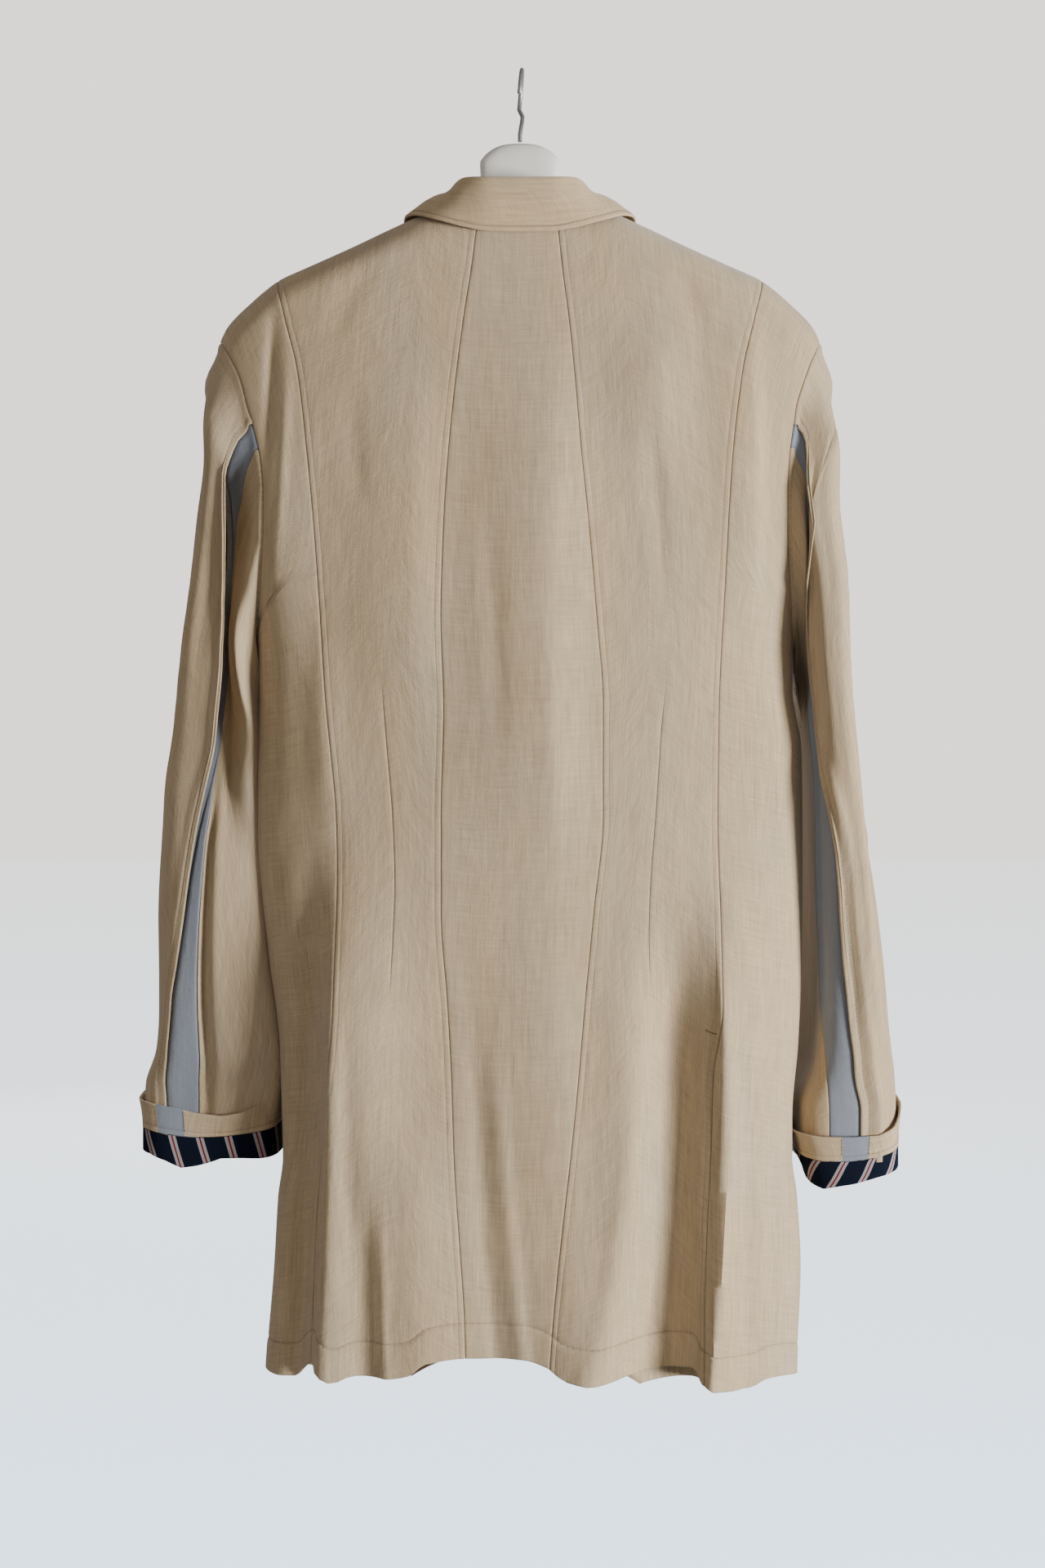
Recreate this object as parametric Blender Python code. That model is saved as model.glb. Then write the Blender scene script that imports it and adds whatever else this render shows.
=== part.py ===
"""A long, soft linen blazer, hung on a contoured hanger.

Metres, +Z up. The front of the blazer faces -Y and the wearer's left is +X. The origin is the inside
top of the hanger's hook, where it bears on what it hangs from. Each cloth panel is a thin wall round
its own middle surface. The body cloth is one surface, read by an angle round the body and a fall from
the shoulder to the hem, and the panels are cut from it along their seams.
"""

import bpy
import numpy as np

MM = 0.001
WALL = 0.0016
LINING_WALL = 0.0011
SEAM_GAP = 0.0003

# How square the body's level section is: 2 would be an ellipse.
SQUARENESS = 3.0
# The body cloth's half width at shoulder height, as if the armhole weren't cut.
SHOULDER_HALF_WIDTH = 0.245
# How far the shoulders lie forward of the neck.
SHOULDER_FORWARD = 0.010
# How far the cloth falls while it rounds the shoulder's ridge.
RIDGE_FALL = 0.030
NECK_HALF_WIDTH = 0.072
NECK_DROP = 0.023
UNDERARM_HEIGHT = -0.455

# The front edges: the roll of the lapels down to the break, then straight, then cut away.
BREAK_HEIGHT = -0.430
GORGE_HEIGHT = -0.180
BUTTON_STAND = 0.020
BUTTON_HEIGHTS = (-0.452, -0.562, -0.672)
BUTTON_RADIUS = 0.010
BUTTON_THICKNESS = 0.0035
LEFT_FRONT_LIFT = 0.0042
RIGHT_FRONT_LIFT = -0.0030
LAPEL_LIFT = 0.0034
LAPEL_ROLL = 0.0013
LAPEL_CLEAR = 0.003

HOOK_WIRE = 0.0035
HOOK_RADIUS = 0.018

LINEN = (0.56, 0.45, 0.33)
STRIP = (0.27, 0.29, 0.33)
LINING = (0.01, 0.013, 0.03)
HANGER_WHITE = (0.80, 0.79, 0.75)
STEEL = (0.55, 0.55, 0.54)
HORN = (0.10, 0.07, 0.05)


# The columns of the tables that aren't lengths.
NOT_LENGTHS = ("share", "degrees", "turn")


def table(columns, *rows):
    """A short table of sizes in millimetres, as its named columns, with every length in metres."""
    names = columns.split()
    scales = [1.0 if name in NOT_LENGTHS else MM for name in names]
    return dict(zip(names, (np.array(rows, float) * scales).T))


def smooth(share):
    """0 below 0, 1 above 1, and an even S between."""
    share = np.clip(share, 0.0, 1.0)
    return share * share * (3.0 - 2.0 * share)


def along(rows, column, at):
    """A table's column read at a place in its first column, on a smooth curve that doesn't overshoot."""
    places = next(iter(rows.values()))
    order = np.argsort(places)
    places = places[order]
    values = rows[column][order]
    steps = np.diff(places)
    slopes = np.diff(values) / steps
    tangents = np.zeros(len(values))
    tangents[0] = slopes[0]
    tangents[-1] = slopes[-1]
    before, after = slopes[:-1], slopes[1:]
    same_way = before * after > 0
    total = np.where(same_way, before + after, 1.0)
    tangents[1:-1] = np.where(same_way, 2.0 * before * after / total, 0.0)
    at = np.clip(at, places[0], places[-1])
    row = np.clip(np.searchsorted(places, at) - 1, 0, len(steps) - 1)
    share = (at - places[row]) / steps[row]
    rise = share * share * (3.0 - 2.0 * share)
    lead = share * (1.0 - share) ** 2 * steps[row]
    trail = share * share * (share - 1.0) * steps[row]
    between = values[row] + (values[row + 1] - values[row]) * rise
    return between + tangents[row] * lead + tangents[row + 1] * trail


# The shoulder's ridge, which carries the shoulder seams.
SHOULDER = table(
    "across height",
    (0, -106), (50, -108), (72, -112), (94, -121), (131, -138), (166, -153), (187, -162),
    (200, -171), (213, -182), (222, -190), (230, -199), (236, -211), (245, -232),
)

# The body cloth's level sections: half width each side, and depth behind and in front.
BODY = table(
    "height left right back front",
    (-100, 245, 245, 41, 40), (-150, 245, 245, 43, 45), (-200, 245, 245, 48, 52),
    (-250, 245, 245, 54, 60), (-300, 243, 243, 58, 67), (-350, 237, 238, 60, 71),
    (-400, 223, 226, 61, 74), (-430, 213, 218, 61, 75), (-455, 207, 214, 61, 76),
    (-485, 205, 214, 61, 76), (-530, 207, 221, 60, 75), (-600, 210, 222, 59, 74),
    (-700, 198, 221, 60, 75), (-760, 189, 218, 61, 76), (-818, 185, 213, 63, 78),
    (-850, 184, 213, 64, 79), (-880, 188, 217, 65, 80), (-935, 191, 220, 67, 82),
    (-1010, 197, 217, 70, 84), (-1060, 199, 216, 71, 85),
)

# The seams of the back, as distances from the centre line.
SEAMS = table(
    "height inner_left inner_right outer_left outer_right",
    (-110, 31, 27, 197, 196), (-160, 37, 32, 190, 190), (-200, 43, 37, 181, 180),
    (-240, 48, 41, 171, 170), (-300, 54, 46, 163, 162), (-360, 58, 52, 157, 158),
    (-430, 60, 58, 152, 155), (-500, 58, 63, 147, 152), (-583, 60, 63, 140, 151),
    (-654, 60, 56, 138, 152), (-725, 55, 49, 138, 151), (-782, 52, 44, 141, 145),
    (-840, 50, 38, 149, 143), (-900, 46, 31, 154, 140), (-960, 42, 25, 156, 138),
    (-1030, 40, 20, 158, 136),
)

ARMHOLE = table(
    "height left right",
    (-211, 236, 236), (-220, 229, 231), (-230, 223, 226), (-245, 216, 220), (-267, 210, 213),
    (-280, 206, 211), (-309, 199, 207), (-335, 196, 206), (-361, 196, 206), (-395, 198, 208),
    (-430, 202, 211), (-455, 207, 214),
)

# The front edge, as distances from the centre line towards the panel's own side.
FRONT_EDGE = table(
    "height edge",
    (-100, 72), (-113, 71), (-180, 47), (-430, -20), (-680, -20), (-800, -19), (-880, -14),
    (-930, -6), (-965, 4), (-992, 18), (-1012, 35), (-1027, 56), (-1036, 76), (-1060, 110),
)

# The hem's height round the body, by the angle from the centre back.
HEM = table(
    "degrees height",
    (-180, -1036), (-172, -1042), (-166, -1048), (-160, -1052), (-145, -1046), (-120, -1032),
    (-90, -1022), (-76, -1018), (-50, -1012), (-45, -1016), (-37, -1015), (-34.5, -1010), (-33, -998),
    (-28, -1001), (-21, -1004), (-14, -1008), (-9, -1005), (-5, -995), (0, -990), (12, -990),
    (20, -993), (24, -1003), (28, -1005), (35, -1004), (39, -1009), (42, -1004), (45, -998),
    (53, -1012), (70, -1012), (90, -1016), (120, -1026), (140, -1036), (155, -1044), (163, -1041),
    (168, -1036), (180, -1030),
)

# Folds of the body cloth: where each starts and ends, its line across, its spread each way and its
# height out of the cloth, which is negative for a hollow.
FOLD_COLUMNS = "top low across_top across_mid across_low to_left to_right rise"
BACK_FOLDS = table(
    FOLD_COLUMNS,
    (-560, -1020, 133, 138, 153, 12, 46, 16), (-590, -1020, 158, 158, 168, 13, 12, -16),
    (-860, -1020, 116, 114, 113, 9, 9, -5), (-800, -1020, 82, 78, 74, 30, 30, 8),
    (-560, -1020, 4, -2, -24, 26, 24, -13), (-640, -1020, -100, -92, -58, 20, 24, 10),
    (-640, -1020, -128, -128, -115, 15, 13, -13), (-600, -1020, -156, -154, -144, 11, 36, 14),
    (-220, -540, 110, 112, 112, 24, 24, -5), (-200, -560, 68, 68, 70, 16, 16, 3),
    (-180, -620, 12, 12, 8, 28, 28, -5), (-240, -560, -35, -38, -44, 18, 18, 5),
    (-190, -330, -80, -80, -82, 22, 22, -5), (-170, -480, -162, -158, -156, 13, 10, -5),
    (-190, -450, -182, -184, -186, 7, 7, 4), (-230, -580, 168, 164, 160, 14, 14, 4),
)
FRONT_FOLDS = table(
    FOLD_COLUMNS,
    (-470, -1060, 118, 124, 132, 20, 34, 11), (-520, -1060, 150, 156, 162, 14, 14, -11),
    (-500, -1060, 70, 66, 72, 26, 26, -7), (-450, -1060, -112, -116, -128, 32, 18, 11),
    (-540, -1060, -150, -152, -158, 14, 14, -12), (-560, -1060, -74, -70, -78, 24, 24, -8),
    (-230, -420, 150, 146, 140, 18, 18, -5), (-230, -420, -152, -148, -142, 18, 18, -5),
)

# A fold that ends lower than this runs on to the hem.
FOLDS_RUN_OUT = -0.9

# Falls from the shoulder at which the body cloth has a row, as shares of the way to the hem.
ROW_FALLS = MM * np.array((
    0, 1.8, 7, 15, 25, 37, 54, 78, 103, 138, 168, 196, 218, 231, 238, 274, 318, 364, 410, 456, 502, 548,
    594, 640, 682, 720, 756, 792, 830,
)) / 0.830
UNDERARM_ROW = 14


def section_angle(x, height):
    """The angle from the centre back of a place across the body, in degrees."""
    half_width = np.where(x > 0, along(BODY, "left", height), along(BODY, "right", height))
    share = np.clip(np.abs(x) / half_width, 0.0, 0.9995)
    turn = np.arctan2(share, (1.0 - share**SQUARENESS) ** (1.0 / SQUARENESS))
    return np.degrees(turn) * np.sign(x)


def fold_rise(folds, across, height):
    """How far the folds lift the cloth off its plain section."""
    total = np.zeros(np.shape(across))
    for top, low, first, middle, last, to_left, to_right, rise in zip(*folds.values()):
        share = np.clip((height - top) / (low - top), 0.0, 1.0)
        line = first * (1 - share) * (1 - 2 * share) + middle * 4 * share * (1 - share)
        line = line + last * share * (2 * share - 1)
        spread = np.where(across > line, to_left, to_right)
        strength = smooth((top - height) / (0.4 * (top - low)))
        if low > FOLDS_RUN_OUT:
            strength = strength * smooth((height - low) / (0.4 * (top - low)))
        total = total + rise * strength * np.exp(-(((across - line) / spread) ** 2))
    return total


def front_lift(across, height, front):
    """How far a front lies out of the plain section, so that the left one can lie over the right one."""
    own_side = across * front
    near_edge = 1.0 - smooth((own_side - BUTTON_STAND) / 0.055)
    below_chest = smooth((-0.20 - height) / 0.12)
    lift = LEFT_FRONT_LIFT if front > 0 else RIGHT_FRONT_LIFT
    return lift * near_edge * below_chest


def torso(angle, fall, front=0):
    """Points of the body cloth. front is 1 on the left front, -1 on the right front and 0 behind."""
    turn = np.radians(angle)
    across, deep = np.sin(turn), np.cos(turn)
    size = (np.abs(across) ** SQUARENESS + np.abs(deep) ** SQUARENESS) ** (1.0 / SQUARENESS)
    across, deep = across / size, deep / size
    ridge_place = np.abs(across) * SHOULDER_HALF_WIDTH
    ridge = along(SHOULDER, "height", ridge_place)
    neck = NECK_DROP * np.clip(1.0 - (ridge_place / NECK_HALF_WIDTH) ** 2, 0.0, 1.0)
    top = ridge - np.where(deep > 0, neck, 0.0)
    height = top + (along(HEM, "height", (angle + 180) % 360 - 180) - top) * fall
    left, right = along(BODY, "left", height), along(BODY, "right", height)
    half_width = np.where(across > 0, left, right)
    depth = np.where(deep > 0, along(BODY, "back", height), along(BODY, "front", height))
    rounding = np.clip(1.0 - (ridge - height) / RIDGE_FALL, 0.0, 1.0)
    depth = depth * np.sqrt(1.0 - rounding**2)
    x = half_width * across
    y = depth * deep - SHOULDER_FORWARD * across**2
    out_x = np.sign(across) * np.abs(across) ** (SQUARENESS - 1) / half_width
    out_y = np.sign(deep) * np.abs(deep) ** (SQUARENESS - 1) / np.maximum(depth, 0.02)
    out = np.hypot(out_x, out_y)
    behind, before = fold_rise(BACK_FOLDS, x, height), fold_rise(FRONT_FOLDS, x, height)
    lift = np.where(deep > 0, behind, before) * smooth(np.abs(deep) / 0.35)
    if front:
        lift = lift + front_lift(x, height, front)
    return np.stack([x + lift * out_x / out, y + lift * out_y / out, height], axis=-1)


def unit(vectors):
    return vectors / np.maximum(np.linalg.norm(vectors, axis=-1, keepdims=True), 1e-12)


def torso_normals(angle, fall, front=0):
    """The way out of the body cloth, the same on both sides of a seam."""
    round_step, fall_step = 0.4, 0.002
    round_body = torso(angle + round_step, fall, front) - torso(angle - round_step, fall, front)
    lower = torso(angle, np.minimum(fall + fall_step, 1.0), front)
    upper = torso(angle, np.maximum(fall - fall_step, 0.0), front)
    return unit(np.cross(round_body, lower - upper))


# Every seam and edge of the body cloth lies between these heights. A row on one is found by halvings.
LOWEST = -1.07
HIGHEST = -0.09
HALVINGS = 40


def line_angles(x_at, face):
    """The angle of a seam or edge at each row, from its x at each height. face is 1 behind, -1 before."""
    low = np.full(len(ROW_FALLS), LOWEST)
    high = np.full(len(ROW_FALLS), HIGHEST)
    for _ in range(HALVINGS):
        height = (low + high) / 2
        own = section_angle(x_at(height), height)
        angle = own if face > 0 else 180.0 - own
        too_high = torso(angle, ROW_FALLS)[:, 2] < height
        high = np.where(too_high, height, high)
        low = np.where(too_high, low, height)
    return angle


def cloth(name, points, normals, colour, wall=WALL, ring=False, roughness=0.9):
    """A closed wall round a middle surface given as rows and columns of points."""
    rows, columns = points.shape[:2]
    outer = points + normals * wall / 2
    inner = points - normals * wall / 2
    verts = np.concatenate([outer.reshape(-1, 3), inner.reshape(-1, 3)])
    back = rows * columns
    last = columns if ring else columns - 1
    faces = []
    for i in range(rows - 1):
        for j in range(last):
            a, b = i * columns + j, i * columns + (j + 1) % columns
            c, d = b + columns, a + columns
            faces.append((a, b, c, d))
            faces.append((back + d, back + c, back + b, back + a))
    for j in range(last):
        k = (j + 1) % columns
        faces.append((back + j, back + k, k, j))
        end = (rows - 1) * columns
        faces.append((end + j, end + k, back + end + k, back + end + j))
    if not ring:
        for i in range(rows - 1):
            a, d = i * columns, (i + 1) * columns
            faces.append((a, d, back + d, back + a))
            b, c = a + columns - 1, d + columns - 1
            faces.append((back + b, back + c, c, b))
    along_row = points[:-1, 1:] - points[:-1, :-1]
    down_column = points[1:, :-1] - points[:-1, :-1]
    first_face = np.cross(along_row, down_column)
    if (first_face * normals[:-1, :-1]).sum() < 0:
        faces = [face[::-1] for face in faces]
    return solid(name, verts, faces, colour, roughness)


def solid(name, verts, faces, colour, roughness=0.9, metallic=0.0):
    mesh = bpy.data.meshes.new(name)
    mesh.from_pydata([tuple(vert) for vert in verts], [], faces)
    mesh.shade_smooth()
    mesh.set_sharp_from_angle(angle=np.radians(50))
    obj = bpy.data.objects.new(name, mesh)
    bpy.context.scene.collection.objects.link(obj)
    dress(obj, colour, roughness, metallic)
    return obj


def dress(obj, colour, roughness, metallic):
    material = bpy.data.materials.new(obj.name)
    material.use_nodes = True
    shader = material.node_tree.nodes["Principled BSDF"]
    shader.inputs["Base Color"].default_value = (*colour, 1)
    shader.inputs["Roughness"].default_value = roughness
    shader.inputs["Metallic"].default_value = metallic
    obj.data.materials.append(material)


def steps_along(points, axis, ring=False):
    """The way along a row or a column at each point, the mean of the ways to its neighbours."""
    ahead = unit(np.roll(points, -1, axis=axis) - points)
    behind = unit(points - np.roll(points, 1, axis=axis))
    if not ring:
        end = [slice(None)] * 3
        end[axis] = -1
        start = [slice(None)] * 3
        start[axis] = 0
        ahead[tuple(end)] = behind[tuple(end)]
        behind[tuple(start)] = ahead[tuple(start)]
    return unit(ahead + behind)


def grid_normals(points, towards, ring=False):
    """The way out of a surface given as points, on the side that the whole of it has towards."""
    normals = unit(np.cross(steps_along(points, 1, ring), steps_along(points, 0)))
    return normals * np.sign((normals * towards).sum())


def drawn_in(points, out, edges):
    """The surface with the named edges drawn in by half a seam gap, square to each edge."""
    drawn = points.copy()
    every = slice(None)
    places = {"top": (0, every), "low": (-1, every), "first": (every, 0), "last": (every, -1)}
    inward = {"top": points[1] - points[0], "low": points[-2] - points[-1]}
    inward.update(first=points[:, 1] - points[:, 0], last=points[:, -2] - points[:, -1])
    for edge in edges:
        place = places[edge]
        ways = steps_along(points, 1 if edge in ("top", "low") else 0)[place]
        square = unit(np.cross(out[place], ways))
        square *= np.sign((square * inward[edge]).sum(axis=-1, keepdims=True))
        drawn[place] += square * SEAM_GAP / 2
    return drawn


def body_surface(lines, shares, front=0):
    """Points and ways out of the body cloth between lines, its columns at shares of the way to the next."""
    columns = [lines[0][:, None]]
    for line, after, part in zip(lines, lines[1:], shares):
        columns.append(line[:, None] + (after - line)[:, None] * np.array(part[1:]))
    angles = np.concatenate(columns, axis=1)
    falls = np.repeat(ROW_FALLS[:, None], angles.shape[1], axis=1)
    points = torso(angles, falls, front)
    smooth_out = torso_normals(angles, falls, front)
    out = grid_normals(points, smooth_out)
    out[0] = smooth_out[0]
    ends = [0, -1] if not front else [-1]
    out[:, ends] = smooth_out[:, ends]
    return points, out


def seam_line(name, side):
    column = name + ("_left" if side > 0 else "_right")
    return line_angles(lambda height: side * along(SEAMS, column, height), 1)


def armhole_line(side, face):
    """The armhole down to the underarm, then the side seam."""
    column = "left" if side > 0 else "right"

    def x_at(height):
        half_width = along(BODY, column, height)
        return side * np.where(height > UNDERARM_HEIGHT, along(ARMHOLE, column, height), half_width)

    angles = line_angles(x_at, face)
    angles[UNDERARM_ROW:] = side * 90.0 if face > 0 else 180.0 - side * 90.0
    return angles


# How a panel's columns are spread between its seams, as shares of the way across.
CENTRE_SHARES = np.linspace(0, 1, 8)
SIDE_SHARES = np.linspace(0, 1, 10)
OUTER_SHARES = np.array((0, 0.07, 0.15, 0.24, 0.35, 0.49, 0.65, 0.82, 1))
FRONT_SHARES = np.linspace(0, 1, 10)


def make_body():
    inner = {side: seam_line("inner", side) for side in (1, -1)}
    outer = {side: seam_line("outer", side) for side in (1, -1)}
    lines = (armhole_line(-1, 1), outer[-1], inner[-1], inner[1], outer[1], armhole_line(1, 1))
    mirrored = (1 - OUTER_SHARES[::-1], 1 - SIDE_SHARES[::-1])
    shares = (*mirrored, CENTRE_SHARES, SIDE_SHARES, OUTER_SHARES)
    names = ("back_outer_right", "back_side_right", "back_centre", "back_side_left", "back_outer_left")
    points, out = body_surface(lines, shares)
    first = 0
    for name, part in zip(names, shares):
        columns = slice(first, first + len(part))
        part_out = out[:, columns]
        cloth(name, drawn_in(points[:, columns], part_out, ("top", "first", "last")), part_out, LINEN)
        first += len(part) - 1
    for side, word in ((1, "left"), (-1, "right")):
        edge = line_angles(lambda height: side * along(FRONT_EDGE, "edge", height), -1)
        points, out = body_surface((edge, armhole_line(side, -1)), (FRONT_SHARES,), side)
        cloth("front_" + word, drawn_in(points, out, ("top", "last")), out, LINEN)


def on_body(x, height, face, front=0):
    """The place on the body cloth, with its way out, at an x and a height, behind or in front."""
    x, height = np.broadcast_arrays(np.asarray(x, float), np.asarray(height, float))
    angle = section_angle(x, height)
    angle = angle if face > 0 else 180.0 - angle
    top = torso(angle, np.zeros(angle.shape))[..., 2]
    low = torso(angle, np.ones(angle.shape))[..., 2]
    fall = (height - top) / (low - top)
    return torso(angle, fall, front), torso_normals(angle, fall, front)


# The lapels: each row's outer edge, by its share of the way from the gorge to the break.
LAPEL = table(
    "share across height",
    (0, 118, -212), (0.12, 117, -236), (0.3, 106, -276), (0.55, 76, -336), (0.8, 32, -392),
    (1, -12, -430),
)


def make_lapel(word, side):
    rows = np.linspace(0.0, 1.0, 11)
    roll_height = np.linspace(GORGE_HEIGHT - LAPEL_CLEAR, BREAK_HEIGHT + LAPEL_CLEAR, len(rows))
    roll = along(FRONT_EDGE, "edge", roll_height)
    outer = along(LAPEL, "across", rows)
    outer_height = along(LAPEL, "height", rows)
    # Each column: its share of the way out, how far past the front's edge it lies, and its lift.
    columns = (
        (0.0, 0.0012, 0.0), (0.0, 0.0014, 0.6 * LAPEL_LIFT), (0.06, 0.0, LAPEL_LIFT),
        (0.30, 0.0, LAPEL_LIFT), (0.55, 0.0, LAPEL_LIFT), (0.78, 0.0, LAPEL_LIFT), (1.0, 0.0, LAPEL_LIFT),
    )
    points = []
    for share, past, lift in columns:
        x = side * (roll - past + (outer - roll) * share)
        height = roll_height + (outer_height - roll_height) * share
        place, out = on_body(x, height, -1, side)
        points.append(place + out * lift)
    points = np.stack(points, axis=1)
    cloth("lapel_" + word, points, grid_normals(points, np.array((0.0, -1.0, 0.0))), LINEN)


# The collar, by its share of the way from the centre back to the gorge: the fold's place, how far the
# fold rolls, the fall's edge across, how far that edge lies behind or, less than 0, before the shoulder,
# and how far the fall arches.
COLLAR = table(
    "share fold_x fold_y fold_z roll edge_x edge_behind swell",
    (0, 0, 48, -95, 3.0, 0, 47, 2), (0.18, 24, 47, -94.5, 3.0, 24, 46, 2),
    (0.34, 43, 39, -93, 3.0, 45, 42, 3), (0.48, 54, 20, -98, 2.8, 68, 32, 5),
    (0.6, 57, -1, -103, 2.6, 88, 8, 6), (0.72, 57, -26, -111, 2.4, 91, -20, 7),
    (0.85, 55, -46, -137, 2.0, 89, -46, 5), (1, 46.5, -54.5, -173.5, 1.6, 84, -84, 2),
)
COLLAR_NECK = table("share across", (0, 0), (0.18, 24), (0.34, 45), (0.48, 62), (0.6, 72))
COLLAR_LIFT = 0.0042
COLLAR_FRONT = 0.085
COLLAR_SEAM_RISE = 0.0012


def ridge_drop(length):
    """How far below the shoulder's ridge a place lies that is this far from it round the cloth."""
    arc = RIDGE_FALL * np.pi / 2
    turn = np.minimum(length / arc, 1.0) * np.pi / 2
    return RIDGE_FALL * (1.0 - np.cos(turn)) + np.maximum(length - arc, 0.0)


def collar_points(side):
    """Rows from the centre back to the gorge, each from the neck seam over the fold to the fall's edge."""
    share = np.linspace(0.0, 1.0, 14)
    fold = np.stack([along(COLLAR, "fold_" + axis, share) for axis in "xyz"], axis=-1)
    fold[:, 0] *= side
    roll = along(COLLAR, "roll", share)
    swell = along(COLLAR, "swell", share)
    behind = along(COLLAR, "edge_behind", share)
    edge_x = side * along(COLLAR, "edge_x", share)
    edge_z = along(SHOULDER, "height", np.abs(edge_x)) - ridge_drop(np.abs(behind))
    neck_x = along(COLLAR_NECK, "across", share)
    neck_z = along(SHOULDER, "height", neck_x) - NECK_DROP * (1 - (neck_x / NECK_HALF_WIDTH) ** 2)
    # In front, the neck seam follows the front's edge over the ridge's round and down to the gorge.
    wrap = np.clip((share - 0.6) / 0.4, 0, 1) * COLLAR_FRONT
    front_z = along(SHOULDER, "height", NECK_HALF_WIDTH) - ridge_drop(wrap)
    front_x = along(FRONT_EDGE, "edge", front_z) - LAPEL_ROLL
    points = []
    for i in range(len(share)):
        face = 1 if behind[i] > 0 else -1
        edge, out = on_body(edge_x[i], edge_z[i], face)
        edge = edge + out * COLLAR_LIFT
        if share[i] <= 0.6:
            neck = on_body(side * neck_x[i], neck_z[i], 1)[0] + (0, 0, COLLAR_SEAM_RISE)
        else:
            neck = on_body(side * front_x[i], front_z[i], -1)[0]
        rise = unit(fold[i] - neck)
        away = edge - fold[i]
        away = unit(away - rise * np.dot(away, rise))
        start = fold[i] - away * roll[i]
        end = fold[i] + away * roll[i] - rise * 0.3 * roll[i]
        bulge = unit(rise + away) * swell[i]
        profile = [neck, neck + (start - neck) * 0.5, start - rise * 0.8 * roll[i], fold[i]]
        profile += [end - rise * 0.5 * roll[i]]
        for part in (0.3, 0.65, 1.0):
            arch = bulge * np.sin(np.pi * min(part, 0.97)) ** 0.8
            profile.append(end + (edge - end) * part + arch)
        points.append(profile)
    return np.array(points)


def make_collar():
    left = collar_points(1)
    right = collar_points(-1)[1:][::-1]
    points = np.concatenate([right, left])
    towards = np.zeros(points.shape)
    towards[:, 5:, 1] = np.sign(points[:, 5:, 1])
    towards[:, 5:, 2] = 1.0
    cloth("collar", points, grid_normals(points, towards), LINEN)


# The sleeves' level sections: middle, half width and half depth, how far the middle lies behind the
# shoulder line, how far the sleeve is turned, in degrees, and how deep it dents beside the stripe.
SLEEVE_COLUMNS = "height middle half_width half_depth behind turn dent"
LEFT_SLEEVE = table(
    SLEEVE_COLUMNS,
    (-205, 216, 27, 22, -10, 0, 0), (-230, 218, 28, 36, -12, 0, 2), (-260, 221, 30, 50, -15, 0, 6),
    (-300, 226, 32, 60, -18, 0, 10), (-350, 232, 30, 67, -21, 0, 13), (-400, 238, 28, 72, -24, 0, 13),
    (-455, 243.5, 28.5, 75, -27, -8, 12), (-515, 244, 31, 71, -28, -16, 10),
    (-570, 247, 33, 67, -28, -24, 8), (-650, 247, 38, 60, -28, -34, 5),
    (-714, 245, 42, 55, -28, -40, 3), (-766, 243, 48, 50, -28, -45, 1),
    (-796, 243.5, 52, 45, -28, -46, 0), (-880, 243.5, 52, 45, -28, -46, 0),
)
RIGHT_SLEEVE = table(
    SLEEVE_COLUMNS,
    (-205, 216, 27, 22, -10, 0, 0), (-230, 219, 28, 36, -12, 0, 2), (-260, 222, 30, 50, -15, 0, 6),
    (-300, 227, 28, 62, -19, 2, 9), (-350, 235, 24, 72, -24, 5, 11), (-400, 242, 21, 79, -28, 8, 11),
    (-455, 246, 20.5, 83, -32, 12, 9), (-526, 251, 19.5, 82, -34, 16, 7),
    (-582, 254, 20.5, 78, -35, 18, 5), (-650, 258, 22.5, 72, -35, 18, 4),
    (-714, 263, 26.5, 66, -35, 14, 3), (-776, 265.5, 34, 57, -35, 0, 1),
    (-812, 260.5, 41, 51, -35, -16, 0), (-890, 260.5, 41, 51, -35, -16, 0),
)
SLEEVE_END = {1: -0.8525, -1: -0.8690}
# Where each point of the armhole, by its height, starts round the sleeve: 0 outside and 180 inside.
SLEEVE_ROUND = table(
    "height degrees",
    (-211, 0), (-220, 24), (-230, 42), (-245, 60), (-267, 80), (-290, 98), (-320, 110),
    (-350, 122), (-385, 139), (-420, 158), (-455, 180),
)
SLEEVE_ROWS = (0.035, 0.075, 0.125, 0.19, 0.26, 0.34, 0.43, 0.52, 0.61, 0.70, 0.78, 0.86, 0.92, 1.0)
# Rows of the body cloth between which the stripe is let in, behind.
STRIPE_ROWS = (8, 9)
FRONT_SEAM_ROW = 10


# The underarm seam turns back on itself: how far the cloth rises past it, and how far the under sleeve then
# stands off the body. Elsewhere the sleeve first runs on from the body.
UNDERARM_GAP = 0.0005
SEAM_RUN = 0.0020
UNDERARM_STEP = 0.0024
UNDERARM_STAND_OFF = 0.0050
SLEEVE_RUN = 0.0034
# The fall over which a sleeve's cloth leaves the armhole's form for the sleeve's own.
CAP_FALL = 0.085
# Where round the sleeve the dent beside the stripe lies, and how wide it is, in degrees.
DENT_PLACE = 82.0
DENT_SPREAD = 26.0


def armhole_loop(side):
    """Points of the armhole from the shoulder, down behind, and up in front, with the body's way out."""
    falls = ROW_FALLS[:UNDERARM_ROW + 1]
    behind = armhole_line(side, 1)[:UNDERARM_ROW + 1]
    before = armhole_line(side, -1)[:UNDERARM_ROW + 1]
    points = np.concatenate([torso(behind, falls), torso(before, falls, side)[-2:0:-1]])
    out = np.concatenate([torso_normals(behind, falls), torso_normals(before, falls, side)[-2:0:-1]])
    tangent = unit(np.roll(points, -1, axis=0) - np.roll(points, 1, axis=0))
    away = np.cross(tangent, out) * side
    return points, out, unit(away)


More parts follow.
